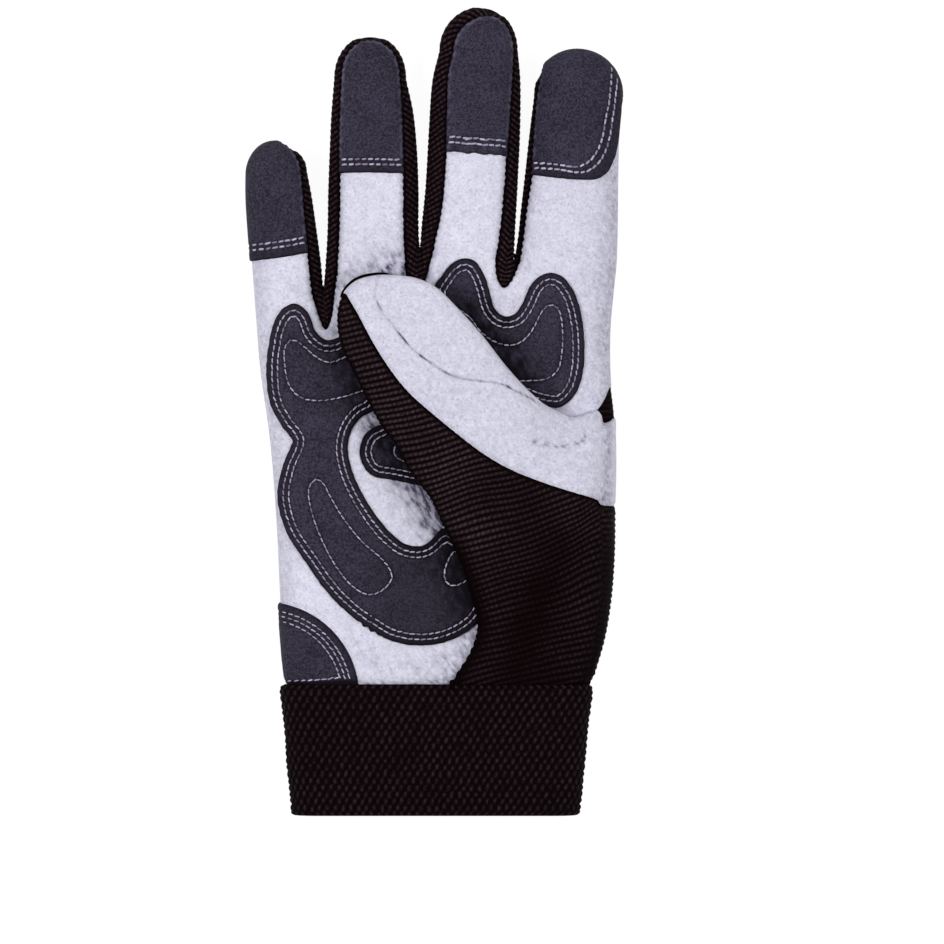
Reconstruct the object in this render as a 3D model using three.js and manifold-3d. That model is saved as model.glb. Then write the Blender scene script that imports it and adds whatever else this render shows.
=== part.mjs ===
// A right-hand work glove of suede, reinforced with dark pads and fingertip caps,
// with a ribbed knit back, knit strips between the fingers and a broad elastic cuff.
// It lies on its back, palm up, with the thumb folded over the palm.
// Millimetres. X runs across the palm to the thumb side, Y from the cuff to the
// fingertips, Z up. The origin is under the middle of the glove, on the surface.

import * as THREE from "three";
import { mergeVertices } from "three/addons/utils/BufferGeometryUtils.js";
import Module from "manifold-3d";

const wasm = await Module();
wasm.setup();

// Driving dimensions of the hand: how it rolls over at its upper and lower edges,
// the thickness of its cloth and the gap that parts two pieces at a seam.
const upperRoll = { across: 9.5, up: 8.5 };
const lowerRoll = { across: 6, up: 4.5 };
const wall = 1.6;
const gap = 0.3;
const backSeamHeight = 4.8;
const handEnd = -84.5;
const tipSteps = 6;

// Reinforcements.
const padThickness = 1.3;
const capThickness = 0.9;

// The palm's crosswise sections, from inside the cuff up to the finger roots.
const palmSections = [
  { y: -100, left: -45.9, right: 48, low: 0, high: 14.6 },
  { y: -84, left: -45.9, right: 48.8, low: 0, high: 14.8 },
  { y: -76, left: -46.4, right: 50.8, low: 0, high: 15 },
  { y: -60, left: -47.6, right: 54, low: 0, high: 15 },
  { y: -34, left: -49, right: 55.8, low: 0, high: 15 },
  { y: -9, left: -51, right: 56, low: 0, high: 15 },
  { y: 4, left: -52.6, right: 54.4, low: 0, high: 15 },
  { y: 13, left: -53.5, right: 54.3, low: 0, high: 15 },
  { y: 28, left: -55, right: 55, low: 0, high: 15 },
  { y: 36, left: -55.4, right: 56, low: 0, high: 15 },
  { y: 38.8, left: -54.6, right: 55.2, low: 0.8, high: 13.4 },
  { y: 40.4, left: -52.6, right: 53.2, low: 3, high: 10.6 },
];

// Each finger's crosswise sections from its root to where the round tip starts.
// Its front rows are the edges of its suede front at the knit strips beside it.
const fingers = [
  {
    name: "little",
    tip: { x: -49.6, y: 83, power: 2 },
    sections: [
      { y: 20, left: -54.8, right: -33.6, low: 0, high: 15 },
      { y: 38.5, left: -55.8, right: -34, low: 0, high: 15 },
      { y: 53, left: -56.2, right: -36.1, low: 0, high: 15 },
      { y: 66, left: -56.8, right: -38, low: 0, high: 14.6 },
      { y: 75, left: -57, right: -39.7, low: 0, high: 14 },
    ],
    front: [
      { y: 41, left: -64, right: -38 },
      { y: 53, left: -64, right: -39.3 },
      { y: 66, left: -64, right: -40.7 },
      { y: 76, left: -64, right: -41.6 },
    ],
  },
  {
    name: "ring",
    tip: { x: -19.5, y: 116.5, power: 2.1 },
    sections: [
      { y: 20, left: -34, right: -4, low: 0, high: 15 },
      { y: 38.5, left: -34, right: -4.2, low: 0, high: 15 },
      { y: 54, left: -33, right: -5, low: 0, high: 15.4 },
      { y: 81, left: -32.6, right: -5.4, low: 0, high: 15.4 },
      { y: 93, left: -32, right: -6.5, low: 0, high: 15 },
      { y: 103, left: -30.9, right: -8.5, low: 0, high: 14.4 },
    ],
    front: [
      { y: 42, left: -30.7, right: -8.5 },
      { y: 54, left: -30, right: -9 },
      { y: 81, left: -29.5, right: -9.6 },
      { y: 94, left: -29.2, right: -10 },
      { y: 103.5, left: -28.8, right: -10.6 },
    ],
  },
  {
    name: "middle",
    tip: { x: 15.2, y: 125.5, power: 2 },
    sections: [
      { y: 20, left: -4.8, right: 24.8, low: 0, high: 15 },
      { y: 50.5, left: -4.4, right: 24.6, low: 0, high: 15.6 },
      { y: 70, left: -2.4, right: 25.7, low: 0, high: 15.6 },
      { y: 87, left: -1.6, right: 26.5, low: 0, high: 15.6 },
      { y: 103, left: -0.2, right: 26.5, low: 0, high: 15.2 },
      { y: 112, left: 2, right: 25.8, low: 0, high: 14.6 },
    ],
    front: [
      { y: 53, left: 0, right: 20 },
      { y: 66, left: 2.3, right: 21.8 },
      { y: 79.5, left: 3.5, right: 22.6 },
      { y: 103, left: 4.2, right: 24.2 },
      { y: 112, left: 6, right: 24.5 },
    ],
  },
  {
    name: "index",
    tip: { x: 44.4, y: 111.2, power: 2.1 },
    sections: [
      { y: 20, left: 24.6, right: 54.6, low: 0, high: 15 },
      { y: 38.5, left: 24.6, right: 56.4, low: 0, high: 15 },
      { y: 51, left: 26, right: 57, low: 0, high: 15.4 },
      { y: 75, left: 28.5, right: 57, low: 0, high: 15.6 },
      { y: 87, left: 30, right: 56.8, low: 0, high: 15.2 },
      { y: 99, left: 31.3, right: 57.1, low: 0, high: 14.6 },
    ],
    front: [
      { y: 51, left: 26.8, right: 64 },
      { y: 63, left: 28.4, right: 64 },
      { y: 75, left: 30.1, right: 64 },
      { y: 87, left: 31, right: 64 },
      { y: 99, left: 32, right: 64 },
    ],
  },
];

// Where the suede front's seams meet between two fingers.
const seamMeetings = [
  { x: -33.6, y: 25 },
  { x: -5.6, y: 32 },
  { x: 21.6, y: 38.4 },
];

// The tips of the two suede fronts that have a knit strip on both sides.
const frontTips = {
  ring: { x: -19.8, y: 114.8, power: 2.1 },
  middle: { x: 17, y: 122.3, power: 2 },
};

// The elastic cuff, narrower towards its hem.
const cuffTop = -84.8;
const cuffBottom = -125.4;
const cuffWall = 2;
const cuffSections = [
  { y: -140, left: -43.6, right: 44.2, low: 0, high: 15 },
  { y: -120, left: -44.4, right: 45.2, low: 0, high: 15 },
  { y: -108, left: -45.2, right: 46.6, low: 0, high: 15.2 },
  { y: -93, left: -46.7, right: 48, low: 0, high: 15.4 },
  { y: -85, left: -47.5, right: 48.8, low: 0, high: 15.4 },
  { y: -70, left: -48.2, right: 49.6, low: 0, high: 15.4 },
];

// The thumb, folded over the palm: its sections run from the cuff, where it lies
// in the heel of the hand, up to the thumb's tip.
const thumbRoll = { across: 9, up: 6.5 };
const thumbSections = [
  { y: -100, left: 4, right: 47, low: 3, high: 16.6 },
  { y: -84.5, left: 5, right: 48.6, low: 3, high: 16.8 },
  { y: -75, left: 11.5, right: 51.4, low: 4, high: 18.5 },
  { y: -66, left: 13.6, right: 53.2, low: 6, high: 21.5 },
  { y: -57, left: 11.6, right: 54.2, low: 9, high: 25 },
  { y: -46, left: 7.8, right: 55, low: 14, high: 28 },
  { y: -36, left: 3, right: 55.5, low: 17.4, high: 30 },
  { y: -27, left: -1, right: 55.6, low: 17.4, high: 31 },
  { y: -16, left: -9.4, right: 55.6, low: 17.4, high: 31.6 },
  { y: -7, left: -14.4, right: 54.6, low: 17.4, high: 31.8 },
  { y: -3, left: -16.8, right: 51.5, low: 17.4, high: 31.8 },
  { y: 0, left: -18.6, right: 39, low: 17.4, high: 31.6 },
  { y: 7, left: -22.4, right: 28.5, low: 17.4, high: 31.4 },
  { y: 14, left: -25.8, right: 22.2, low: 17.4, high: 31 },
  { y: 24, left: -29.4, right: 14, low: 17.5, high: 30.2 },
  { y: 32, left: -29.8, right: 7, low: 17.8, high: 29.2 },
  { y: 38, left: -27.4, right: 0.5, low: 18.6, high: 27.6 },
  { y: 41, left: -23, right: -5, low: 20, high: 26 },
  { y: 42.2, left: -17.5, right: -11.5, low: 21.6, high: 24.4 },
];

// The root that joins the folded thumb to the side of the palm.
const rootSections = [
  { y: -96, left: 24, right: 46, low: 5, high: 14 },
  { y: -70, left: 30, right: 51.6, low: 5, high: 18 },
  { y: -50, left: 36, right: 54.2, low: 5, high: 24 },
  { y: -30, left: 38, right: 55.6, low: 5, high: 26 },
  { y: -8, left: 41, right: 55.2, low: 5, high: 26 },
  { y: -3.5, left: 44, right: 52, low: 6, high: 24 },
];

// The seam between the thumb's suede front and its knit back.
const thumbSeam = [
  { x: -40, y: 50 },
  { x: -27.5, y: 37.5 },
  { x: -18.5, y: 20.5 },
  { x: -7.5, y: 5.5 },
  { x: 6.5, y: -6.5 },
  { x: 23.5, y: -18 },
  { x: 33.5, y: -22 },
  { x: 44.5, y: -25.5 },
  { x: 70, y: -29 },
];

// The pads' outlines, counterclockwise, and the round patch on the heel.
const palmPad = [
  { x: -38.5, y: 30 },
  { x: -43.5, y: 33.5 },
  { x: -50.5, y: 26.5 },
  { x: -52.5, y: 14 },
  { x: -50.5, y: 1.5 },
  { x: -46.5, y: -5 },
  { x: -43.6, y: -9 },
  { x: -46.6, y: -15.5 },
  { x: -49, y: -26 },
  { x: -46.5, y: -36.5 },
  { x: -32, y: -57.5 },
  { x: -18, y: -69 },
  { x: -2.5, y: -72.5 },
  { x: 13.5, y: -65.5 },
  { x: 18, y: -52 },
  { x: 11, y: -41.5 },
  { x: 2.5, y: -36 },
  { x: -5.5, y: -42 },
  { x: -14.5, y: -36.5 },
  { x: -25.5, y: -19 },
  { x: -27, y: -11 },
  { x: -22, y: -1.5 },
  { x: -15, y: 5 },
  { x: -12.5, y: 17 },
  { x: -17, y: 27.5 },
  { x: -29.5, y: 23.5 },
  { x: -35, y: 23 },
];
const fingerPad = [
  { x: 0, y: 38.5 },
  { x: 0.6, y: 30 },
  { x: 11, y: 15.5 },
  { x: 27, y: 4 },
  { x: 39, y: 1 },
  { x: 44.4, y: 6.5 },
  { x: 46.5, y: 19 },
  { x: 43, y: 37.5 },
  { x: 36, y: 43 },
  { x: 29.5, y: 39 },
  { x: 24.5, y: 30 },
  { x: 21, y: 29.5 },
  { x: 17, y: 37 },
  { x: 12.5, y: 46.5 },
  { x: 7, y: 47 },
];
const thumbPad = [
  { x: -16.5, y: -4 },
  { x: -21.6, y: -7 },
  { x: -23, y: -14 },
  { x: -19.5, y: -20 },
  { x: -3, y: -23.5 },
  { x: 16, y: -26 },
  { x: 22, y: -14 },
  { x: 5, y: -3 },
  { x: -9, y: -1.5 },
];
const heelPatch = { x: -53, y: -89, radius: 29.6 };

// The lower edge of each fingertip cap, from left to right.
const capEdges = {
  little: [
    { x: -64, y: 46 },
    { x: -57.5, y: 46.5 },
    { x: -37.5, y: 49.5 },
    { x: -33, y: 50 },
  ],
  ring: [
    { x: -35, y: 73.5 },
    { x: -3, y: 74 },
  ],
  middle: [
    { x: 0, y: 80.5 },
    { x: 28, y: 78.5 },
  ],
  index: [
    { x: 28, y: 73 },
    { x: 48, y: 72 },
    { x: 52.5, y: 73.6 },
    { x: 55.8, y: 80 },
    { x: 57.5, y: 92 },
    { x: 64, y: 96 },
  ],
};

// A box that holds the whole glove with room to spare.
const room = { side: 90, near: -160, far: 160, under: -20, over: 60 };

// The share of a finger's height at which its round tip closes, and how far round
// the tip's last row goes.
const tipCloses = { height: 0.46, turn: 0.97 };

// The steps of a section's rounded corners, and how near they come to its middle.
const corners = { upperSteps: 5, lowerSteps: 4, across: 0.97, up: 1.03 };

// The least half width and half height of a section that is drawn in.
const leastHalf = { x: 0.4, z: 0.3 };

// How sharply a hollow's sections move back towards its far end.
const endPull = 6;

// The direction across the thumb's suede seam.
const seamAcross = { x: 0.5, y: 0.87 };

// How far the outer knit strips reach past the middle of their finger.
const stripReach = 12;

// Where the suede front passes the little finger's tip and the index finger's tip.
const littleTipPass = [
  { x: -64, y: -130 },
  { x: -64.5, y: 90 },
  { x: -50, y: 88 },
];
const littleTipSeam = { x: -46.6, y: 83.4 };
const indexTipSeam = { x: 33.4, y: 106.5 };
const indexTipPass = [
  { x: 36, y: 118 },
  { x: 64.5, y: 117 },
  { x: 64, y: -130 },
];

// The number of points of each pad's outline.
const outlinePoints = { palm: 64, finger: 40, thumb: 24, heel: 40 };

// The depth of a cut through the knit strips between two fingers, along the hand.
const stripSpan = { near: 20, far: 140 };

const suede = { color: 0xd8d6e6, roughness: 0.95, metalness: 0 };
const darkLeather = { color: 0x3a3648, roughness: 0.8, metalness: 0 };
const knit = { color: 0x1a1114, roughness: 0.9, metalness: 0 };
const elastic = { color: 0x140c0f, roughness: 0.85, metalness: 0 };

// A closed geometry as a solid for cutting and joining.
function solidFrom(geometry) {
  const bare = geometry.clone();
  bare.deleteAttribute("normal");
  bare.deleteAttribute("uv");
  const merged = mergeVertices(bare, 1e-4);
  const mesh = new wasm.Mesh({
    numProp: 3,
    vertProperties: merged.attributes.position.array,
    triVerts: new Uint32Array(merged.index.array),
  });
  return new wasm.Manifold(mesh);
}

function geometryFrom(solid) {
  const mesh = solid.getMesh();
  const geometry = new THREE.BufferGeometry();
  const positions = new Float32Array((mesh.vertProperties.length / mesh.numProp) * 3);
  for (let i = 0; i < positions.length / 3; i += 1) {
    for (let axis = 0; axis < 3; axis += 1) {
      positions[i * 3 + axis] = mesh.vertProperties[i * mesh.numProp + axis];
    }
  }
  geometry.setAttribute("position", new THREE.BufferAttribute(positions, 3));
  geometry.setIndex(new THREE.BufferAttribute(new Uint32Array(mesh.triVerts), 1));
  geometry.computeVertexNormals();
  return geometry;
}

// A straight-sided solid over a plan outline between two heights.
function prism(points, low, high) {
  const shape = new THREE.Shape(points.map((p) => new THREE.Vector2(p.x, p.y)));
  const geometry = new THREE.ExtrudeGeometry(shape, { depth: high - low, bevelEnabled: false });
  geometry.translate(0, 0, low);
  return solidFrom(geometry);
}

function block(x0, x1, y0, y1, z0, z1) {
  const geometry = new THREE.BoxGeometry(x1 - x0, y1 - y0, z1 - z0);
  geometry.translate((x0 + x1) / 2, (y0 + y1) / 2, (z0 + z1) / 2);
  return solidFrom(geometry);
}

// A smooth closed outline through its corner points.
function smoothOutline(points, count) {
  const through = points.map((p) => new THREE.Vector3(p.x, p.y, 0));
  return new THREE.CatmullRomCurve3(through, true, "centripetal").getSpacedPoints(count).slice(0, -1);
}

// The round end of a finger beyond its last row, as a superellipse quarter on each
// side of the tip: pairs of left and right edges, each further along.
function roundTip(tip, last, steps) {
  const rows = [];
  for (let i = 1; i <= steps; i += 1) {
    const angle = (Math.PI / 2) * Math.min(i / steps, tipCloses.turn);
    const across = Math.cos(angle) ** (2 / tip.power);
    const along = Math.sin(angle) ** (2 / tip.power);
    rows.push({
      y: last.y + along * (tip.y - last.y),
      left: tip.x + across * (last.left - tip.x),
      right: tip.x + across * (last.right - tip.x),
      across,
    });
  }
  return rows;
}

// A finger's sections with its round tip, which also closes in height.
function fingerSections(finger) {
  const last = finger.sections[finger.sections.length - 1];
  const middle = last.high * tipCloses.height;
  const tipRows = roundTip(finger.tip, last, tipSteps).map((row) => ({
    ...row,
    low: middle - (middle - last.low) * row.across,
    high: middle + (last.high - middle) * row.across,
  }));
  return [...finger.sections, ...tipRows];
}

// One crosswise section as a ring: a box whose upper and lower corners are
// quarters of an ellipse, drawn in by the shrink.
function sectionRing(row, y, shrink, roll) {
  const halfX = Math.max((row.right - row.left) / 2 - shrink, leastHalf.x);
  const halfZ = Math.max((row.high - row.low) / 2 - shrink, leastHalf.z);
  const centreX = (row.left + row.right) / 2;
  const centreZ = (row.low + row.high) / 2;
  const ring = [];
  for (let corner = 0; corner < 4; corner += 1) {
    const steps = corner < 2 ? corners.upperSteps : corners.lowerSteps;
    const edge = corner < 2 ? roll.upper : roll.lower;
    const across = Math.min(Math.max(edge.across - shrink, 1), halfX * corners.across);
    const up = Math.min(Math.max(edge.up - shrink, 1), halfZ * corners.up);
    const sideX = corner === 0 || corner === 3 ? 1 : -1;
    const sideZ = corner < 2 ? 1 : -1;
    for (let i = 0; i < steps; i += 1) {
      const angle = (Math.PI / 2) * (corner + i / (steps - 1));
      ring.push([
        centreX + sideX * (halfX - across) + across * Math.cos(angle),
        y,
        centreZ + sideZ * Math.max(halfZ - up, 0) + Math.min(up, halfZ) * Math.sin(angle),
      ]);
    }
  }
  return ring;
}

// A closed tube along Y through a table of sections, drawn in by the shrink all
// round and at its far end.
function loft(sections, shrink, roll) {
  const lastIndex = sections.length - 1;
  const rings = sections.map((row, index) => {
    const pull = index === lastIndex ? shrink : shrink * (index / lastIndex) ** endPull;
    return sectionRing(row, row.y - pull, shrink, roll);
  });
  const sides = rings[0].length;
  const triangles = [];
  for (let ring = 0; ring < lastIndex; ring += 1) {
    for (let i = 0; i < sides; i += 1) {
      const a = ring * sides + i;
      const b = ring * sides + ((i + 1) % sides);
      triangles.push(a, a + sides, b, b, a + sides, b + sides);
    }
  }
  const last = lastIndex * sides;
  for (let i = 1; i + 1 < sides; i += 1) {
    triangles.push(0, i, i + 1);
    triangles.push(last, last + i + 1, last + i);
  }
  const geometry = new THREE.BufferGeometry();
  geometry.setAttribute("position", new THREE.Float32BufferAttribute(rings.flat(2), 3));
  geometry.setIndex(triangles);
  return solidFrom(geometry);
}

// The suede front's outline, walked clockwise: up the little finger's side, round
// each finger's front and down the seams between them.
function frontOutline(grow) {
  const outline = [...littleTipPass, { x: littleTipSeam.x + grow, y: littleTipSeam.y }];
  fingers.forEach((finger, i) => {
    const rows = finger.front;
    const tip = frontTips[finger.name];
    const tipRows = tip ? roundTip({ ...tip, y: tip.y + grow }, rows[rows.length - 1], tipSteps) : [];
    if (i > 0) {
      outline.push(...[...rows, ...tipRows].map((row) => ({ x: row.left - grow, y: row.y })));
    }
    if (i < fingers.length - 1) {
      const down = [...rows, ...tipRows].reverse();
      outline.push(...down.map((row) => ({ x: row.right + grow, y: row.y })));
      outline.push({ x: seamMeetings[i].x, y: seamMeetings[i].y + grow });
    }
  });
  outline.push({ x: indexTipSeam.x - grow, y: indexTipSeam.y });
  outline.push(...indexTipPass);
  return outline;
}

// The largest of the bodies that a cut leaves, without its loose slivers.
function mainBody(solid) {
  const bodies = solid.decompose();
  bodies.sort((a, b) => b.volume() - a.volume());
  return bodies[0];
}

const group = new THREE.Group();

function addPiece(name, solid, finish) {
  const mesh = new THREE.Mesh(geometryFrom(mainBody(solid)), new THREE.MeshStandardMaterial(finish));
  mesh.name = name;
  group.add(mesh);
}

// The whole glove as one outer form and one hollow.
const handRoll = { upper: upperRoll, lower: lowerRoll };
const foldRoll = { upper: thumbRoll, lower: thumbRoll };
const aboveCuff = block(-room.side, room.side, handEnd, room.far, room.under, room.over);

// The palm and its four fingers as one solid, drawn in by the shrink.
function hand(shrink) {
  let whole = loft(palmSections, shrink, handRoll);
  for (const finger of fingers) {
    whole = whole.add(loft(fingerSections(finger), shrink, handRoll));
  }
  return whole;
}

// The folded thumb with its root, drawn in by the shrink.
function thumb(shrink) {
  return loft(thumbSections, shrink, foldRoll).add(loft(rootSections, shrink, foldRoll));
}

const hollow = hand(wall).add(thumb(wall));
const handShell = hand(0).subtract(hollow).intersect(aboveCuff);

// Regions that the seams divide the shell into, each with its share of the gap.
const frontLow = backSeamHeight + gap;
const aboveBackSeam = block(-room.side, room.side, room.near, room.far, frontLow, room.over);
const frontRegion = prism(frontOutline(-gap / 2), frontLow, room.over);
const stripRegion = aboveBackSeam.subtract(prism(frontOutline(gap / 2), 0, room.over));

// The stretch on the side of the hand, below the thumb's root, where the knit
// rises to the thumb.
const knitSide = { left: 44, top: -27 };
function knitSideBlock(grow) {
  return block(knitSide.left - grow, room.side, room.near, knitSide.top + grow, 0, room.over);
}

// The ribbed knit back, flat on the surface, which also rises round the thumb's
// root on the side of the hand.
function backPanel() {
  const flat = block(-room.side, room.side, room.near, room.far, room.under, backSeamHeight);
  return handShell.intersect(flat.add(knitSideBlock(0)));
}

// The suede front with the finger fronts in one piece.
function palmPanel() {
  return handShell.intersect(frontRegion).subtract(knitSideBlock(gap));
}

// The knit strips between neighbouring fingers, divided along each finger's middle.
function knitStrip(index) {
  const left = fingers[index].tip.x + (index === 0 ? -stripReach : gap / 2);
  const right = fingers[index + 1].tip.x + (index === 2 ? stripReach : -gap / 2);
  const between = block(left, right, stripSpan.near, stripSpan.far, 0, room.over);
  return handShell.intersect(stripRegion).intersect(between);
}

// The thumb outside the hand's skin, above or below its suede seam.
function thumbPiece(front) {
  const shift = (front ? 1 : -1) * (gap / 2);
  const seam = thumbSeam.map((p) => ({ x: p.x + shift * seamAcross.x, y: p.y + shift * seamAcross.y }));
  const far = front ? room.far : room.near;
  const ends = [thumbSeam[thumbSeam.length - 1], thumbSeam[0]].map((p) => ({ x: p.x, y: far }));
  const region = prism([...seam, ...ends], room.under, room.over);
  const shell = thumb(0).subtract(hollow).subtract(hand(-gap)).intersect(aboveCuff);
  return shell.intersect(region);
}

// A layer laid on the hand's skin inside a plan outline, clear of the thumb.
function layer(outline, thickness) {
  const skin = hand(-gap - thickness).subtract(hand(-gap));
  const region = prism(outline, frontLow, room.over);
  return skin.intersect(region).intersect(aboveCuff).subtract(loft(thumbSections, -gap, foldRoll));
}

// A fingertip cap: the finger's suede front beyond the cap's lower edge.
function fingerCap(name) {
  const edge = capEdges[name];
  const ends = [edge[edge.length - 1], edge[0]].map((p) => ({ x: p.x, y: room.far }));
  const above = prism([...edge, ...ends], 0, room.over);
  return layer(frontOutline(-gap / 2), capThickness).intersect(above);
}

// The elastic band, a flat tube open at both ends.
function cuffBand() {
  const slab = block(-room.side, room.side, cuffBottom, cuffTop, room.under, room.over);
  const outer = loft(cuffSections, 0, handRoll);
  const inner = loft(cuffSections, cuffWall, handRoll);
  return outer.subtract(inner).intersect(slab);
}

// The round patch's outline.
function circleOutline(circle) {
  const count = outlinePoints.heel;
  const points = [];
  for (let i = 0; i < count; i += 1) {
    const angle = (2 * Math.PI * i) / count;
    points.push({
      x: circle.x + circle.radius * Math.cos(angle),
      y: circle.y + circle.radius * Math.sin(angle),
    });
  }
  return points;
}

addPiece("back_panel", backPanel(), knit);
addPiece("palm_panel", palmPanel(), suede);
addPiece("strip_little_ring", knitStrip(0), knit);
addPiece("strip_ring_middle", knitStrip(1), knit);
addPiece("strip_middle_index", knitStrip(2), knit);
addPiece("thumb_front", thumbPiece(true), suede);
addPiece("thumb_back", thumbPiece(false), knit);
addPiece("cuff", cuffBand(), elastic);
for (const finger of fingers) {
  addPiece(`cap_${finger.name}`, fingerCap(finger.name), darkLeather);
}
addPiece("pad_palm", layer(smoothOutline(palmPad, outlinePoints.palm), padThickness), darkLeather);
addPiece("pad_finger", layer(smoothOutline(fingerPad, outlinePoints.finger), padThickness), darkLeather);
addPiece("pad_thumb", layer(smoothOutline(thumbPad, outlinePoints.thumb), padThickness), darkLeather);
addPiece("pad_heel", layer(circleOutline(heelPatch), padThickness), darkLeather);

export default group;
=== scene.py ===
"""A right-hand work glove lying palm up, its thumb folded over the palm.

Every sheet of the glove is a plan outline, seen from above, filled with points and
rolled over its edge into shape. Lengths are in millimetres until a mesh is made.
"""
import math

import bpy
import numpy as np
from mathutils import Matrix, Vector
from mathutils.geometry import delaunay_2d_cdt


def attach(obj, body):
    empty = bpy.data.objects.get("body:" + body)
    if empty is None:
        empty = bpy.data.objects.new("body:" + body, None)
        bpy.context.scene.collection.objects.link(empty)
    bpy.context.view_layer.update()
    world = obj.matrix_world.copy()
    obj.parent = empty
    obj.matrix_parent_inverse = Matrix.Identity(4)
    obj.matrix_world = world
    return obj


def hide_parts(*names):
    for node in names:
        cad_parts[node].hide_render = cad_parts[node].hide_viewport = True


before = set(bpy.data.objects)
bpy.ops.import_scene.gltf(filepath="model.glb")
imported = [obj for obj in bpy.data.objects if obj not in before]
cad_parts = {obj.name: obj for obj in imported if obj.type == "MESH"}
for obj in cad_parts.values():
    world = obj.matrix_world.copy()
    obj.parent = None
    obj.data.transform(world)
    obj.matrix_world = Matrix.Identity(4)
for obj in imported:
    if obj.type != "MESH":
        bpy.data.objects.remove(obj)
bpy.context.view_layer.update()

MM = 0.001
# Spacing of the points along curves in the plan, and along the hand's outline.
CURVE_STEP = 0.6
OUTLINE_STEP = 0.7
# How far from a sheet's innermost ring its grid of points begins.
GRID_CLEARANCE = 0.35
# How near to a line its own normals count, not the direction away from it.
NORMAL_BLEND = 0.4

# The plan of the hand, in millimetres from the middle of the glove.

PALM_SIDE_LEFT = [(-45.8, -85.6), (-45.9, -82.0), (-46.6, -75.0), (-47.7, -60.0), (-49.0, -34.0),
                  (-51.0, -9.0), (-54.0, 13.0), (-55.3, 29.0)]
PALM_SIDE_RIGHT = [
    (56.6, 46.0), (55.7, 37.0), (54.8, 27.0), (54.6, 17.0), (54.9, 9.0), (56.0, -1.0), (56.4, -14.0),
    (56.1, -28.0), (55.8, -44.0), (54.8, -58.0), (52.6, -71.0), (50.0, -80.0), (48.4, -85.6),
]
# Each finger's outer sides going up, its round tip (x, y, power), and the edges of
# its suede front going up. None stands for an edge that wraps round the hand's side.
FINGERS = {
    "little": dict(
        left=[(-56.3, 42.0), (-57.0, 52.0), (-57.9, 66.0), (-57.9, 73.6)], tip=(-50.2, 83.3, 1.9),
        right=[(-35.2, 46.0), (-36.4, 55.0), (-38.0, 66.0), (-39.7, 75.0)],
        front_left=None, front_tip=None,
        front_right=[(-35.6, 29.0), (-37.4, 36.0), (-38.4, 45.0), (-40.0, 58.0), (-41.0, 70.0),
                     (-41.9, 76.6), (-43.9, 80.6), (-46.6, 83.4)],
    ),
    "ring": dict(
        left=[(-33.7, 46.0), (-33.1, 56.0), (-32.9, 68.0), (-32.4, 81.0), (-31.9, 92.0), (-31.0, 103.0)],
        tip=(-19.9, 116.5, 2.1),
        right=[(-4.9, 58.0), (-4.9, 68.0), (-5.4, 81.0), (-6.6, 93.0), (-8.8, 103.0)],
        front_left=[(-31.9, 28.5), (-31.1, 37.0), (-30.2, 46.5), (-29.6, 65.0), (-29.5, 81.0),
                    (-29.1, 95.0), (-28.6, 104.0)],
        front_tip=(-19.8, 114.9, 2.1),
        front_right=[(-8.0, 37.0), (-9.0, 53.0), (-9.5, 78.0), (-10.0, 93.5), (-10.8, 104.0)],
    ),
    "middle": dict(
        left=[(-3.9, 58.0), (-2.7, 70.0), (-1.7, 87.0), (-0.5, 103.0),
              (1.6, 112.0)], tip=(14.6, 125.5, 2.0),
        right=[(25.0, 56.0), (25.8, 70.0), (26.6, 87.0), (26.6, 103.0), (25.8, 112.0)],
        front_left=[(-2.9, 40.0), (0.0, 53.0), (2.2, 63.5), (3.5, 79.5), (4.0, 93.5), (4.3, 104.0),
                    (6.0, 112.0)],
        front_tip=(17.0, 122.5, 2.0),
        front_right=[(19.7, 41.0), (19.2, 46.0), (20.2, 53.0), (22.0, 67.0), (22.7, 79.5), (24.1, 103.0),
                     (24.5, 112.0)],
    ),
    "index": dict(
        left=[(25.9, 53.0), (27.0, 63.0), (28.4, 75.0), (29.7, 87.0), (31.0, 98.0)], tip=(44.3, 111.9, 2.0),
        right=[(57.0, 60.0), (57.1, 72.0), (57.4, 86.0), (57.9, 98.5)],
        front_left=[(24.0, 40.6), (26.0, 46.5), (27.0, 53.0), (28.5, 64.5), (30.0, 74.0), (31.0, 87.5),
                    (31.8, 97.0), (33.6, 106.6)],
        front_tip=None, front_right=None,
    ),
}
# Where two fingers part (on the outline) and where their suede seams meet.
PARTINGS = [((-34.4, 38.5), (-33.6, 25.2)), ((-4.5, 50.5), (-5.6, 32.0)), ((24.8, 47.0), (21.6, 38.3))]
# The suede's edge at the fold beside the thumb, then on under the thumb.
FRONT_FOLD = [(54.1, 6.9), (52.9, 4.0), (51.0, 1.0), (46.4, -3.0), (43.0, -8.0), (38.0, -24.0),
              (24.0, -60.0), (8.0, -85.6)]

# Creases in the palm's suede: the two ends, the depth and the width of each.
CREASES = [
    (-17.0, 44.0, -11.0, 45.6, 0.9, 0.8),
    (-10.5, 45.2, -2.5, 43.6, 1.0, 0.9),
    (-13.0, 48.6, -4.5, 47.4, 0.3, 0.9),
    (-19.5, -72.5, -17.5, -80.0, 0.4, 1.0),
    (-9.0, -77.5, -3.0, -81.5, 0.45, 0.9),
    (-26.0, -67.5, -22.0, -76.0, 0.35, 1.0),
    (0.5, -75.5, 6.5, -79.5, 0.45, 0.9),
    (50.0, 26.0, 52.5, 18.0, 0.3, 1.0),
    (49.5, 44.0, 52.0, 36.0, 0.3, 1.0),
    (-44.0, 40.0, -39.5, 34.0, 0.3, 1.2),
    (36.0, 48.0, 43.0, 50.5, 0.25, 1.1),
]
# The distance between the stitches of the front's seams.
SEAM_STITCH = 2.2

# Heights of the palm, of the outline's widest place and of the side seam, and how
# much higher the fingers are than the palm.
HAND_TOP = 15.0
HAND_WIDEST = 7.0
SEAM_HEIGHT = 4.8
FINGER_RISE = 0.5
# How far in from the outline the upper side is rounded, and the least rise there.
HAND_ROLL = 11.5
LEAST_RISE = 0.2
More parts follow.
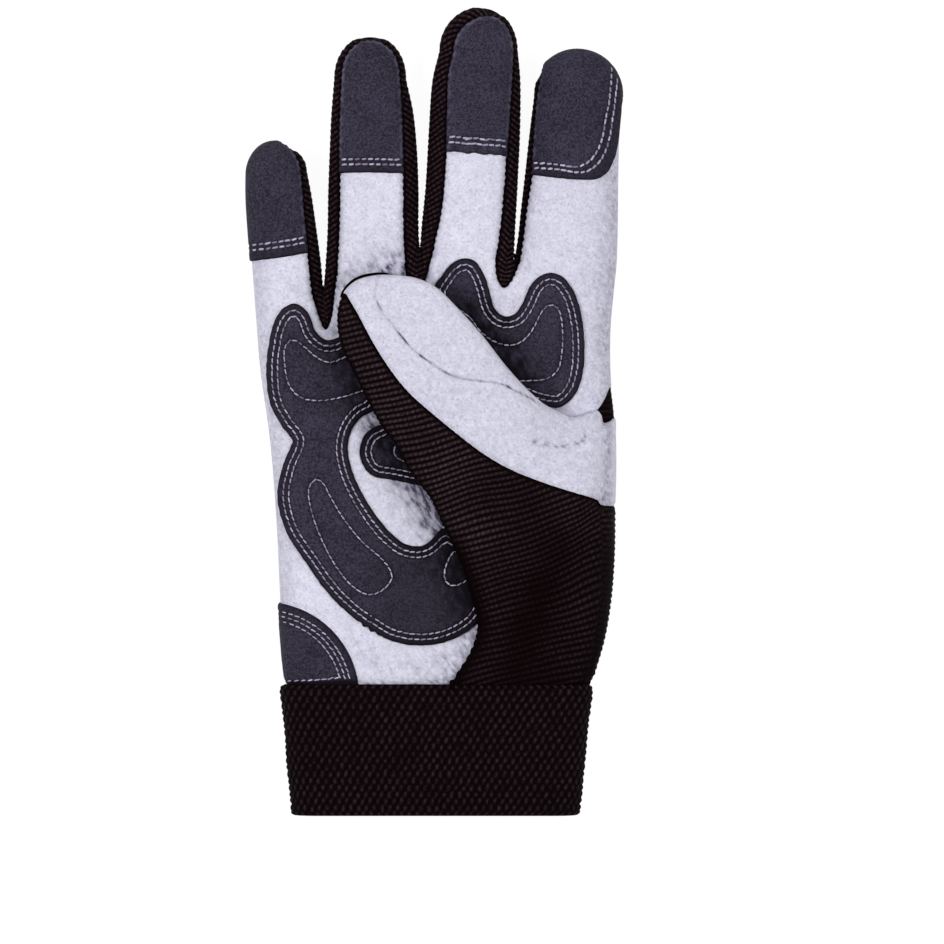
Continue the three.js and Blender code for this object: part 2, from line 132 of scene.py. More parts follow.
# How far the sheets go on down the side, and how far they come in there.
SIDE_WRAP = 2.3
SIDE_TUCK = 0.25
# Where the hand meets the cuff, where its sheets end under it, the left corner there,
# and a box round the hand.
HAND_END = -84.5
SHEET_END = -85.6
BASE_LEFT = -44.6
HAND_BOX = ((-62, -90), (62, 128))
CLOTH = 1.2

# The folded thumb: outline points with the height of its edge there, and heights
# of its top and underside along Y.
THUMB_LEFT = [
    (4.3, -85.6, 15.5), (6.9, -81.3, 15.9), (10.2, -76.2, 16.3), (12.5, -71.0, 16.9), (13.4, -65.6, 17.5),
    (11.5, -57.5, 18.6), (8.0, -46.5, 20.4), (3.0, -36.0, 22.2), (-1.2, -27.0, 23.4), (-7.4, -19.0, 24.0),
    (-12.0, -10.5, 24.3), (-16.6, -4.0, 24.4), (-21.0, 4.0, 24.4), (-24.2, 10.6, 24.3), (-27.6, 17.5, 24.0),
    (-29.6, 24.0, 23.7), (-29.9, 30.0, 23.4), (-29.0, 34.4, 23.1), (-27.2, 37.8, 22.8),
]
THUMB_RIGHT = [
    (-24.0, 40.5, 22.8), (-18.6, 42.0, 23.0), (-12.0, 42.1, 23.3), (-5.0, 41.0, 23.7), (0.6, 38.3, 24.0),
    (7.0, 32.2, 24.3), (14.6, 23.8, 24.5), (22.4, 13.8, 24.5), (28.6, 7.0, 24.0), (33.8, 2.4, 22.6),
    (38.4, 0.0, 20.0), (43.0, -1.7, 16.8), (47.0, -0.6, 15.4), (50.3, 0.4, 14.6), (51.8, -1.2, 13.2),
    (52.6, -3.4, 11.4), (54.1, -3.1, 9.8), (56.0, -2.0, 8.0),
]
THUMB_FOLD = [
    (56.4, -8.0, 7.0), (56.5, -18.0, 7.0), (56.2, -30.0, 7.0), (56.0, -44.0, 7.0), (55.0, -58.0, 7.0),
    (52.8, -71.0, 7.0), (50.2, -80.0, 7.0), (48.6, -85.6, 7.0),
]
THUMB_TOP = [(-84.5, 16.8), (-75.0, 18.6), (-66.0, 21.6), (-57.0, 25.0), (-46.0, 28.0), (-36.0, 30.0),
             (-27.0, 31.0), (-7.0, 31.6), (14.0, 31.0), (24.0, 30.2), (32.0, 29.2), (42.0, 27.6)]
THUMB_UNDER = [(-84.5, 8.0), (-57.0, 11.0), (-46.0, 15.6), (-38.0, 17.5), (42.0, 17.7)]
# How far in from its outline the thumb is rounded, along Y.
THUMB_ROLL = ([-84.5, -60.0, -30.0, 20.0, 42.0], [12.0, 13.0, 13.0, 11.0, 9.0])
THUMB_SEAM = [(-27.9, 36.9), (-23.6, 29.8), (-18.5, 20.5), (-13.0, 12.0), (-7.5, 5.4), (-1.0, -0.4),
              (6.5, -6.6), (15.5, -13.4), (23.5, -18.0), (33.5, -22.0), (44.5, -25.5), (51.6, -27.2),
              (52.6, -27.6), (53.0, -28.4), (53.4, -29.0), (60.0, -29.4)]
THUMB_CREASE = [(-17.0, 42.6), (-18.0, 36.5), (-17.0, 32.5), (-12.0, 25.5), (-6.5, 19.0), (-0.5, 14.5),
                (5.0, 11.2), (11.0, 9.6), (20.5, 8.5), (27.0, 5.4), (33.0, 2.4)]
THUMB_LOW_CREASE = [(47.2, -6.2), (46.2, -8.8), (42.2, -10.6), (36.6, -10.8), (31.0, -9.6)]
# Where the thumb's cloth folds down the side of the hand.
THUMB_SIDE_FOLD = [(52.5, -3.6), (52.8, -12.0), (52.8, -29.0), (52.4, -45.0), (51.5, -60.0), (49.7, -72.0),
                   (47.6, -85.6)]
# How much of the painted highlight the knit's ribs take over the thumb: places and amounts.
THUMB_RIB_LIGHT = [(-26, 26, 0.6), (-20, 14, 0.68), (-14, 4, 0.75), (-6, -8, 0.7), (4, -18, 0.84),
                   (16, -26, 0.4), (30, -30, 0.3), (45, -31, 0.5), (12, -38, 0.75), (24, -46, 0.42),
                   (38, -43, 0.12), (33, -54, 0.05), (20, -60, 0.4), (28, -66, 0.04), (47, -48, 0.32),
                   (44, -62, 0.34), (40, -74, 0.3), (17, -74, 0.3), (25, -78, 0.05), (10, -80, 0.3),
                   (34, -82, 0.1)]
# How dark the painted shade is on the palm beside the folded thumb: places and amounts.
FOLD_SHADE = [(-24, 44, 0.3), (-14, 46, 0.65), (-7, 46, 0.55), (3, 42, 0.25), (14, 28, 1.0), (25, 14, 1.0),
              (34, 5, 0.3), (40, 1, 0.1), (47, 0, 0.0), (-31, 28, 0.3), (-27, 14, 0.7), (-20, 2, 0.7),
              (-14, -9, 1.0), (-4, -26, 1.0), (2, -37, 1.0), (8, -46, 1.0), (12, -56, 1.0),
              (14.5, -66, 0.5), (12, -76, 0.3), (6, -84, 0.35)]
# The valley from the thumb's root towards the cuff.
THUMB_VALLEY = [(52.0, -29.5), (46.5, -38.5), (42.0, -47.5), (37.5, -58.0), (32.5, -71.0), (28.0, -84.5)]

# The dark pads' outlines, and the lines quilted into them.
PALM_PAD = [
    (-38.6, 29.6), (-40.6, 32.2), (-43.6, 33.4), (-47.3, 31.4), (-49.9, 26.4), (-51.3, 19.0), (-51.7, 10.5),
    (-50.2, 1.6), (-47.0, -4.6), (-44.4, -8.0), (-43.7, -9.2), (-44.2, -10.6), (-46.5, -16.2),
    (-48.2, -25.5), (-46.0, -36.3), (-39.7, -46.9), (-32.0, -57.4), (-25.4, -63.6), (-18.0, -68.9),
    (-10.5, -71.9), (-2.6, -72.5), (5.0, -71.0), (13.4, -65.6), (18.0, -54.0), (11.0, -41.8), (2.6, -36.2),
    (0.0, -38.9), (-2.7, -41.2), (-5.7, -41.8), (-9.6, -40.7), (-14.6, -36.4), (-20.6, -28.3),
    (-25.2, -19.0), (-26.7, -11.2), (-25.4, -5.6), (-22.6, -1.9), (-18.6, 0.4), (-14.5, 6.0), (-12.5, 17.0),
    (-17.0, 26.0), (-29.3, 23.0), (-33.2, 22.1), (-36.6, 24.6),
]
FINGER_PAD = [
    (0.0, 38.4), (0.6, 30.0), (11.0, 15.5), (27.0, 4.0), (35.0, 1.4), (39.2, 1.3), (43.6, 5.2),
    (45.7, 10.6), (46.5, 19.0), (45.6, 29.8), (43.2, 37.2), (39.6, 41.8), (36.0, 42.9), (32.6, 41.8),
    (29.6, 38.6), (27.2, 33.2), (24.8, 30.0), (21.4, 29.5), (18.6, 32.2), (17.2, 37.0), (15.4, 42.4),
    (12.4, 46.6), (9.0, 47.4), (5.0, 45.4), (2.4, 42.0),
]
TONGUE_PAD = [
    (-16.5, -4.0), (-21.0, -6.6), (-23.0, -11.0), (-22.4, -16.0), (-19.3, -19.9), (-12.0, -21.4),
    (-3.0, -23.4), (10.0, -26.0), (22.0, -23.0), (22.0, -14.0), (5.0, -3.0), (-9.0, -1.5),
]
# Where the palm pad's edge is cut in small jags.
PAD_JAGS = dict(place=(-20.6, -67.8), reach=4.0, height=0.42, pitch=2.3)
HEEL_PATCH = dict(centre=(-52.7, -88.5), radius=29.5)
QUILT_UPPER = [(-27.0, 17.0), (-32.5, 15.1), (-36.4, 16.7), (-40.8, 20.5), (-44.0, 22.2), (-46.0, 20.2),
               (-46.1, 14.4), (-44.9, 8.4), (-41.6, 4.4), (-36.0, 3.3), (-28.5, 4.4), (-21.0, 6.8)]
QUILT_LOWER = [(-36.4, -21.0), (-38.0, -22.0), (-38.9, -24.4), (-38.4, -29.2), (-35.9, -37.2),
               (-31.0, -47.1), (-25.5, -54.0), (-20.5, -56.8), (-16.3, -55.6), (-13.0, -51.4),
               (-15.4, -46.6), (-22.5, -40.2), (-28.5, -32.6), (-32.6, -25.6), (-34.4, -22.2)]
QUILT_END = [(10.2, -43.6), (6.2, -43.4), (4.2, -46.4), (3.1, -50.4), (4.0, -53.4), (6.6, -54.0),
             (10.4, -52.2)]
QUILT_FINGER = [(7.6, 31.6), (11.5, 28.6), (14.0, 25.0), (18.6, 21.6), (23.5, 20.4), (27.6, 21.9),
                (31.0, 26.2), (33.4, 31.0), (36.0, 33.1), (38.4, 31.8), (39.6, 27.0), (39.6, 19.0),
                (38.2, 12.6), (34.6, 10.0), (26.4, 9.4)]
QUILT_TONGUE = [(-8.0, -15.8), (-10.6, -15.0), (-12.4, -13.4), (-12.4, -11.4), (-10.6, -9.6)]
# The lower edges of the fingertip caps, from left to right.
CAP_EDGES = {
    "little": [(-60.8, 46.2), (-57.2, 46.5), (-48.0, 47.5), (-37.6, 49.4), (-36.0, 49.7)],
    "ring": [(-31.5, 73.7), (-20.0, 73.9), (-8.0, 73.6)],
    "middle": [(1.5, 80.6), (12.5, 79.8), (24.5, 78.9)],
    "index": [(28.5, 73.3), (31.0, 73.1), (41.4, 71.9), (49.6, 71.8), (52.0, 72.6), (54.2, 74.9),
              (55.9, 78.9), (56.9, 83.6), (57.7, 91.6), (58.5, 97.0), (61.5, 99.0)],
}
# How uneven each cap's lower edge is, and how much thicker its thread is than the pads'.
CAP_WAVES = {"little": 0.08, "ring": 0.08, "middle": 0.34, "index": 0.1}
CAP_THREAD = 1.45
# The two rows of stitches above each edge: how far from it they run, or their paths.
CAP_STITCHES = {"little": (3.3, 4.9), "ring": (2.6, 4.2), "middle": (2.9, 4.6)}
INDEX_CAP_STITCHES = [
    [(29.6, 75.4), (38.3, 74.9), (44.9, 73.9), (47.6, 74.4), (50.5, 76.7), (52.7, 80.4), (54.1, 85.4),
     (54.9, 90.4), (55.5, 94.7), (56.0, 99.7), (56.4, 104.3)],
    [(29.8, 77.0), (38.3, 76.4), (43.4, 75.6), (45.7, 76.0), (48.5, 77.9), (50.5, 80.9), (52.1, 85.4),
     (52.9, 90.4), (53.8, 94.7), (54.3, 99.7), (54.6, 105.2), (54.5, 107.2)],
]
# Rows of stitches in from the edges of pads and heel patch, and the row at its base.
PAD_STITCHES = (1.9, 3.5)
HEEL_STITCHES = (2.4, 3.8, 5.3)
HEEL_BASE_STITCHES = [(-29.0, -82.4), (-36.0, -83.2), (-45.6, -83.6)]
# Rings of points inside a pad's outline, dense beside its edge and stitches.
PAD_RINGS = [0.08, 0.25, 0.5, 0.8, 1.3, 1.6, 1.9, 2.2, 2.7, 3.2, 3.5, 3.8, 4.4]
STITCH = dict(pitch=1.98, length=1.83, width=0.47, height=0.36, slant=0.11)

# Distances and slants of the knit's ribs, the distance between a strip's rows of
# points, and the rows over which its ends are sunk in.
RIB_PITCH = 1.82
STRIP_RIB_PITCH = 1.42
STRIP_RIB_SLANT = math.radians(38)
STRIP_STEP = 0.3
STRIP_END_ROWS = 22
THUMB_RIB_RISE = math.radians(14.5)

# The cuff's sides in the plan, its thickness, and the size of its woven bumps.
CUFF_LEFT = [(-44.5, -125.2), (-45.5, -114.0), (-46.3, -102.0), (-47.2, -92.5), (-48.1, -84.9)]
CUFF_RIGHT = [(45.3, -125.2), (46.1, -114.0), (47.2, -102.0), (48.4, -92.5), (49.3, -84.9)]
CUFF_THICK = 15.2
BUMP_WIDE = 2.48
BUMP_HIGH = 2.1

# Ridges along lines, or grooves where it is below nought: the height and the width.
# For the seam and the cuff's edge it is the depth.
RELIEF = {
    "seam": (0.7, 0.8), "beside seam": (0.15, 1.1), "stitches": (-0.3, 0.38), "cap stitches": (-0.24, 0.38),
    "quilting": (-0.38, 0.42), "crease": (-0.5, 0.3), "beside crease": (0.4, 1.8), "low crease": (-0.25, 0.5),
    "side fold": (-0.2, 0.6), "thumb seam": (-0.6, 0.7), "valley": (-2.4, 5.5), "cuff edge": (0.8, 1.6),
    "hem": (-0.25, 0.7), "cuff top": (-0.5, 1.3),
}
# Darkness painted along lines, mostly painted shade in grooves, creases and folds and at the cuff's edge:
# how dark it is on the line, and the width. The cut edge is darker; the cap rim's entry is a painted
# highlight, paler instead.
SHADE = {
    "cut edge": (0.45, 0.5), "quilting": (0.7, 0.55), "crease": (0.85, 0.3), "low crease": (0.45, 0.7),
    "cuff edge": (0.5, 1.0), "side fold": (1.0, 1.2), "cap rim highlight": (0.5, 0.45),
}
# Soft unevenness: its height, the lengths of its waves and its seed.
UNEVEN = {
    "hand": (0.28, (34.0, 17.0), 5), "hand nap": (0.07, (4.2, 2.6), 17), "palm": (0.12, (9.0, 6.0), 21),
    "thumb": (0.3, (26.0, 14.0), 8), "thumb nap": (0.09, (3.4, 2.2), 19),
    "thumb ribs": (0.8, (44.0, 26.0), 31), "fold shade": (0.6, (4.6, 2.4), 41),
    "cuff": (0.25, (30.0, 15.0), 77), "bumps across": (0.07, (9.0, 5.0), 71),
    "bumps along": (0.09, (9.0, 5.0), 73),
}
# The thickness of the pads' leather and of the caps', and the powers of the
# superellipses that round the hand, the thumb and the thumb's underside.
PAD_LEATHER = 0.6
CAP_LEATHER = 0.5
HAND_POWER = 2.15
THUMB_POWER = 2.2
THUMB_UNDER_POWER = 2.6


# Curves in the plan.

def resample(line, step, closed=False):
    """Points at equal distances along a polyline."""
    line = np.asarray(line, float)
    if closed:
        line = np.vstack([line, line[:1]])
    run = np.concatenate([[0.0], np.cumsum(np.linalg.norm(np.diff(line[:, :2], axis=0), axis=1))])
    count = max(int(round(run[-1] / step)), 3)
    places = np.linspace(0.0, run[-1], count + 1)
    if closed:
        places = places[:-1]
    return np.column_stack([np.interp(places, run, line[:, k]) for k in range(line.shape[1])])


def smooth(points, step, closed=False):
    """A centripetal Catmull-Rom curve through the points, resampled at equal steps."""
    p = np.asarray(points, float)
    pieces = 16
    if closed:
        p = np.vstack([p[-1:], p, p[:2]])
    else:
        p = np.vstack([2 * p[:1] - p[1:2], p, 2 * p[-1:] - p[-2:-1]])
    parts = []
    for a, b, c, d in zip(p[:-3], p[1:-2], p[2:-1], p[3:]):
        t0, t1 = 0.0, np.linalg.norm((b - a)[:2]) ** 0.5
        t2 = t1 + np.linalg.norm((c - b)[:2]) ** 0.5
        t3 = t2 + np.linalg.norm((d - c)[:2]) ** 0.5
        t = np.linspace(t1, t2, pieces, endpoint=False)[:, None]
        ab = a + (b - a) * (t - t0) / (t1 - t0)
        bc = b + (c - b) * (t - t1) / (t2 - t1)
        cd = c + (d - c) * (t - t2) / (t3 - t2)
        abc = ab + (bc - ab) * (t - t0) / (t2 - t0)
        bcd = bc + (cd - bc) * (t - t1) / (t3 - t1)
        parts.append(abc + (bcd - abc) * (t - t1) / (t2 - t1))
    curve = np.vstack(parts + ([] if closed else [p[-2:-1]]))
    return resample(curve, step, closed)


def round_tip(tip, left, right, count=16):
    """The round end of a finger from its left side over the tip to its right side:
    a quarter of a superellipse on each side of the tip."""
    x, y, power = tip
    angle = np.linspace(0, np.pi / 2, count)[1:]
    across, along = np.cos(angle) ** (2 / power), np.sin(angle) ** (2 / power)
    rising = np.column_stack([x + across * (left[0] - x), left[1] + along * (y - left[1])])
    falling = np.column_stack([x + across * (right[0] - x), right[1] + along * (y - right[1])])[::-1]
    return np.vstack([rising, falling[1:]])


def unit(vectors):
    """The vectors at length 1."""
    return vectors / np.maximum(np.linalg.norm(vectors, axis=1, keepdims=True), 1e-9)


def normals_of(line, closed):
    """Unit normals on the right-hand side of a polyline's direction, at its points:
    each the mean of its two segments' normals."""
    steps = unit(np.roll(line, -1, 0) - line)
    if not closed:
        steps[-1] = steps[-2]
    before = np.roll(steps, 1, 0)
    if not closed:
        before[0] = steps[0]
    along = unit(steps + before)
    return np.column_stack([along[:, 1], -along[:, 0]])


class Line:
    """A polyline that finds, for many points at once, the nearest place on it."""

    def __init__(self, points, closed):
        points = np.asarray(points, float)
        self.extra = points[:, 2:]
        self.points = points[:, :2]
        self.closed = closed
        self.normals = normals_of(self.points, closed)
        after = np.roll(self.points, -1, 0)
        self.steps = after - self.points
        if not closed:
            self.steps[-1] = 0
        self.run = np.concatenate([[0.0], np.cumsum(np.linalg.norm(self.steps, axis=1))[:-1]])

    def nearest(self, xy):
        """Signed distance (positive on the normals' side), foot, unit normal there,
        run along the line, and the line's extra columns, for each point."""
        q = self.points
        count = len(q)
        index = np.empty(len(xy), int)
        square = (q ** 2).sum(1)
        batch = 4096
        for start in range(0, len(xy), batch):
            part = xy[start:start + batch]
            index[start:start + batch] = np.argmin(square - 2 * part @ q.T, axis=1)
        best = None
        for first in (index, (index - 1) % count):
            step = self.steps[first]
            size = np.maximum((step ** 2).sum(1), 1e-12)
            share = np.clip(((xy - q[first]) * step).sum(1) / size, 0, 1)
            if not self.closed:
                share = np.where(size < 1e-9, 0, share)
            foot = q[first] + step * share[:, None]
            distance = np.linalg.norm(xy - foot, axis=1)
            if best is None:
                best = [distance, foot, first, share]
            else:
                closer = distance < best[0]
                best = [
                    np.where(closer, distance, best[0]),
                    np.where(closer[:, None], foot, best[1]),
                    np.where(closer, first, best[2]),
                    np.where(closer, share, best[3]),
                ]
        distance, foot, first, share = best
        second = (first + 1) % count
        mix = share[:, None]
        normal = unit(self.normals[first] * (1 - mix) + self.normals[second] * mix)
        step = self.steps[first]
        facing = np.column_stack([step[:, 1], -step[:, 0]])
        facing = np.where((share <= 0)[:, None], self.normals[first], facing)
        facing = np.where((share >= 1)[:, None], self.normals[second], facing)
        side = np.where(((xy - foot) * facing).sum(1) >= 0, 1.0, -1.0)
        run = self.run[first] + share * np.linalg.norm(self.steps[first], axis=1)
        extra = self.extra[first] * (1 - mix) + self.extra[second] * mix
        away = (xy - foot) * side[:, None] / np.maximum(distance, 1e-9)[:, None]
        blend = np.clip(distance / NORMAL_BLEND, 0, 1)[:, None]
        away = unit(away * blend + normal * (1 - blend))
        return distance * side, foot, away, run, extra

    def distance(self, xy):
        return self.nearest(xy)[0]


def hand_outline():
    """The whole hand seen from above, walked clockwise from the cuff."""
    walk = [np.array(PALM_SIDE_LEFT)]
    for finger, parting in zip(FINGERS.values(), PARTINGS + [None]):
        walk += [np.array(finger["left"]), round_tip(finger["tip"], finger["left"][-1], finger["right"][-1])]
        walk.append(np.array(finger["right"][::-1]))
        if parting:
            walk.append(np.array([parting[0]]))
    walk.append(np.array(PALM_SIDE_RIGHT))
    return smooth(np.vstack(walk), OUTLINE_STEP)


def front_seams():
    """The suede front's three seams with the knit strips, each walked from one
    fingertip down to where two fingers part and up to the next fingertip."""
    rising, falling = [], []
    for finger in FINGERS.values():
        rising.append(list(finger["front_left"] or []))
        falling.append(list(finger["front_right"] or [])[::-1])
        if finger["front_tip"]:
            tip = round_tip(finger["front_tip"], finger["front_left"][-1], finger["front_right"][-1])
            middle = len(tip) // 2
            rising[-1] += list(tip[:middle + 1])
            falling[-1] = list(tip[middle:]) + falling[-1]
    return [smooth(np.array([*falling[i], meeting, *rising[i + 1]]), CURVE_STEP)
            for i, (_, meeting) in enumerate(PARTINGS)]


OUTLINE = hand_outline()
HAND = Line(OUTLINE, closed=False)
SEAMS = front_seams()
SEAM_LINES = [Line(seam, closed=False) for seam in SEAMS]


def lumps(xy, lengths, seed):
    """Soft unevenness between about -1 and 1: plane waves of about the given lengths
    in many directions, summed and divided by the root of their number."""
    local = np.random.default_rng(seed)
    total = np.zeros(len(xy))
    waves = 9
    for length in lengths:
        for angle, phase in zip(local.uniform(0, np.pi, waves), local.uniform(0, 2 * np.pi, waves)):
            k = 2 * np.pi / (length * local.uniform(0.75, 1.35))
            total += np.sin(k * (xy[:, 0] * np.cos(angle) + xy[:, 1] * np.sin(angle)) + phase)
    usual = 1.4
    return total / (waves * len(lengths)) ** 0.5 / usual


def spread(table, xy):
    """A smooth field through a table's places and amounts: their mean, weighted by
    the inverse fourth power of the distance, softened close by."""
    table = np.array(table, float)
    softening = 30.0
    square = ((xy[:, None] - table[None, :, :2]) ** 2).sum(2)
    weight = 1 / (square + softening) ** 2
    return (weight * table[:, 2]).sum(1) / weight.sum(1)


def step_up(x, low, high):
    """Rises smoothly from 0 at low to 1 at high."""
    t = np.clip((x - low) / (high - low), 0, 1)
    return t * t * (3 - 2 * t)


def bell(away, width):
    """1 at no distance, falling as a Gaussian to nearly nothing at twice the width."""
    return np.exp(-(away / width) ** 2)


def beside_line(away, shape):
    """A ridge, a groove or a shade along a line, from its height and width."""
    height, width = shape
    return height * bell(away, width)


def uneven(xy, kind):
    """One of the kinds of soft unevenness, at its height."""
    height, lengths, seed = UNEVEN[kind]
    return height * lumps(xy, lengths, seed)


def rounded(away, radius):
    """A quarter circle rising from 0 at an edge to 1 at the radius."""
    return np.sqrt(1 - (1 - np.clip(away / radius, 0, 1)) ** 2)


def patches(xy, lengths, seed, low, high):
    """Uneven patches from 0 to 1, where the soft lumps rise from low to high."""
    return step_up(lumps(xy, lengths, seed), low, high)


def ribs(phase):
    """Round ribs from a phase in turns: 1 on their crowns and 0 between them."""
    return 0.5 + 0.5 * np.cos(2 * np.pi * phase)


def tucked(y):
    """How far the sheets are drawn in at the cuff's edge, and deeper under it."""
    near = np.maximum(y - HAND_END, 0)
    return beside_line(near, RELIEF["cuff edge"]) + 1.6 * step_up(HAND_END + 0.15 - y, 0, 0.7)


# How a flat sheet is rolled over an edge.

def roll(xy, line, low, high, radius, power):
    """Lays plan points on a surface that stands at height low along the line,
    upright, and rolls over a superellipse of the given radius into the height
    high. Where low is None, the line's own heights count. Points beyond the line
    go down the side. Returns places, outward normals, and the distance inside."""
    inside, foot, inward, _, extra = line.nearest(xy)
    if low is None:
        low = extra[:, 0]
    c = 1 - np.clip(inside / radius, 0, 1)
    s = (1 - c ** power) ** (1 / power)
    beyond = np.maximum(-inside, 0)
    z = low + (high - low) * s
    z = z - beyond * (HAND_WIDEST - SEAM_HEIGHT) / SIDE_WRAP
    tuck = SIDE_TUCK * (beyond / SIDE_WRAP) ** 2
    flat = np.where((inside < 0)[:, None], foot + inward * tuck[:, None], xy)
    level = np.where(np.abs(high - low) < LEAST_RISE, LEAST_RISE, high - low)
    slope = -inward * (c ** (power - 1) / radius)[:, None]
    normal = unit(np.column_stack([slope, s ** (power - 1) / level]))
    return np.column_stack([flat, z]), normal, inside


def creases(xy):
    """The depth of the palm's creases: each deepest in the middle of its line."""
    depths = np.zeros(len(xy))
    for x0, y0, x1, y1, depth, width in CREASES:
        start, step = np.array([x0, y0]), np.array([x1 - x0, y1 - y0])
        share = np.clip((xy - start) @ step / (step @ step), 0, 1)
        away = np.linalg.norm(xy - start - share[:, None] * step, axis=1)
        depths += depth * bell(away, width) * (1 - 0.6 * np.abs(2 * share - 1))
    return depths


def hand_surface(xy):
    """The hand's upper side: level in the middle with soft lumps, rolled over at
    the outline, and drawn down along the seams of the suede front and the cuff.
    Returns places, normals, the distance inside and a height along the normals."""
    little = step_up(-xy[:, 0], 30, 36) * step_up(xy[:, 1], 20, 40)
    radius = HAND_ROLL - 2.2 * little
    high = HAND_TOP + FINGER_RISE * step_up(xy[:, 1], 40, 70)
    points, normal, inside = roll(xy, HAND, HAND_WIDEST, high, radius, HAND_POWER)
    lift = uneven(xy, "hand") * step_up(inside, 0, 6)
    groove = np.zeros(len(xy))
    for line in SEAM_LINES:
        away, _, _, run, _ = line.nearest(xy)
        pull = 1 + 0.35 * np.cos(2 * np.pi * run / SEAM_STITCH)
        groove = np.maximum(groove, pull * beside_line(away, RELIEF["seam"]))
        lift += pull * beside_line(np.abs(away) - 2.2, RELIEF["beside seam"])
    lift -= groove + creases(xy)
    lift += uneven(xy, "hand nap") * step_up(inside, 0, 2)
    lift -= tucked(xy[:, 1])
    return points, normal, inside, lift


# Meshes.

def add_mesh(name, points, faces, attributes):
    """A mesh object of equal-sided faces from arrays, in metres."""
    faces = np.asarray(faces, np.int32)
    mesh = bpy.data.meshes.new(name)
    mesh.vertices.add(len(points))
    mesh.vertices.foreach_set("co", (np.asarray(points) * MM).astype(np.float32).ravel())
    mesh.loops.add(faces.size)
    mesh.loops.foreach_set("vertex_index", faces.ravel())
    mesh.polygons.add(len(faces))
    mesh.polygons.foreach_set("loop_start", np.arange(0, faces.size, faces.shape[1], dtype=np.int32))
    mesh.polygons.foreach_set("use_smooth", np.ones(len(faces), bool))
    mesh.update(calc_edges=True)
    for key, values in attributes.items():
        layer = mesh.attributes.new(key, "FLOAT", "POINT")
        layer.data.foreach_set("value", np.asarray(values, np.float32).ravel())
    obj = bpy.data.objects.new(name, mesh)
    bpy.context.collection.objects.link(obj)
    return obj


def rings_inside(edge, depths, share=0.985):
    """Copies of a closed clockwise line, drawn in by each depth and thinned where
    they would come nearer to it than that share of the depth."""
    rings = []
    for depth in depths:
        ring = edge.points + edge.normals * depth
        rings.append(ring[edge.distance(ring) > depth * share])
    return rings


def lattice(low, high, across, along, angle=0.0):
    """A rectangular grid of points over a box, turned by an angle."""
    centre = (np.asarray(low) + np.asarray(high)) / 2
    reach = np.linalg.norm(np.asarray(high) - np.asarray(low)) / 2
    u, v = np.meshgrid(np.arange(-reach, reach, across), np.arange(-reach, reach, along))
    u, v = u.ravel(), v.ravel()
    c, s = math.cos(angle), math.sin(angle)
    return np.column_stack([centre[0] + u * c - v * s, centre[1] + u * s + v * c])


def clockwise(points):
    """A closed outline in clockwise order, told by the sign of its area."""
    x, y = points[:, 0], points[:, 1]
    area = np.sum(x * np.roll(y, -1) - np.roll(x, -1) * y)
    return points if area < 0 else points[::-1]


def fill(outline, depths, grid):
    """The points and triangles of a flat sheet: its outline, rings inside it and
    a grid in the rest, joined by a constrained triangulation."""
    outline = clockwise(outline)
    edge = Line(outline, closed=True)
    innermost = max(depths) if len(depths) else 0
    rest = grid[edge.distance(grid) > innermost + GRID_CLEARANCE]
    points = np.vstack([outline, *rings_inside(edge, depths), rest])
    count = len(outline)
    edges = [(i, (i + 1) % count) for i in range(count)]
    made = delaunay_2d_cdt([Vector(p) for p in points.tolist()], edges, [], 1, 1e-6)
    flat = np.array([(v.x, v.y) for v in made[0]])
    faces = np.array([f for f in made[2] if len(f) == 3])
    a, b, c = (flat[faces[:, k]] for k in range(3))
    turned = (b[:, 0] - a[:, 0]) * (c[:, 1] - a[:, 1]) - (b[:, 1] - a[:, 1]) * (c[:, 0] - a[:, 0]) < 0
    faces[turned] = faces[turned][:, ::-1]
    return flat, faces, edge


def stretch(line, count):
    """The plan of a polyline at count places, evenly spaced among its points."""
    places, own = np.linspace(0, 1, count), np.linspace(0, 1, len(line))
    return np.column_stack([np.interp(places, own, line[:, k]) for k in (0, 1)])


def grid_faces(rows, columns, closed_rows=False, closed_columns=False, turn=0):
    """Four-sided faces between the neighbours in a grid of points, also from its
    last row or column to its first where closed. Each face starts at a corner
    that turn picks, which settles its diagonal."""
    cell = np.arange(rows * columns).reshape(rows, columns)
    above = np.roll(cell, -1, 0)
    faces = np.stack([above, np.roll(above, -1, 1), np.roll(cell, -1, 1), cell], -1)
    faces = faces[:rows if closed_rows else -1, :columns if closed_columns else -1]
    return np.roll(faces.reshape(-1, 4), turn, 1)


def wall(obj, thickness):
    """Gives a sheet its thickness, inwards."""
    solidify = obj.modifiers.new("thickness", "SOLIDIFY")
    solidify.thickness = thickness * MM
    solidify.offset = -1
    return obj


def declare(obj, finish, node=None):
    obj.data.materials.append(finish)
    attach(obj, "root")
    if node:
        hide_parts(node)
    return obj


# Shader parts.

def new_group(name, inputs, outputs):
    """An empty node group with named inputs, each with its kind and value, and named
    outputs."""
    group = bpy.data.node_groups.new(name, "ShaderNodeTree")
    for label, kind, value in inputs:
        socket = group.interface.new_socket(label, in_out="INPUT", socket_type=kind)
        socket.default_value = value
    for label, kind in outputs:
        group.interface.new_socket(label, in_out="OUTPUT", socket_type=kind)
    return group, group.nodes.new("NodeGroupInput"), group.nodes.new("NodeGroupOutput")


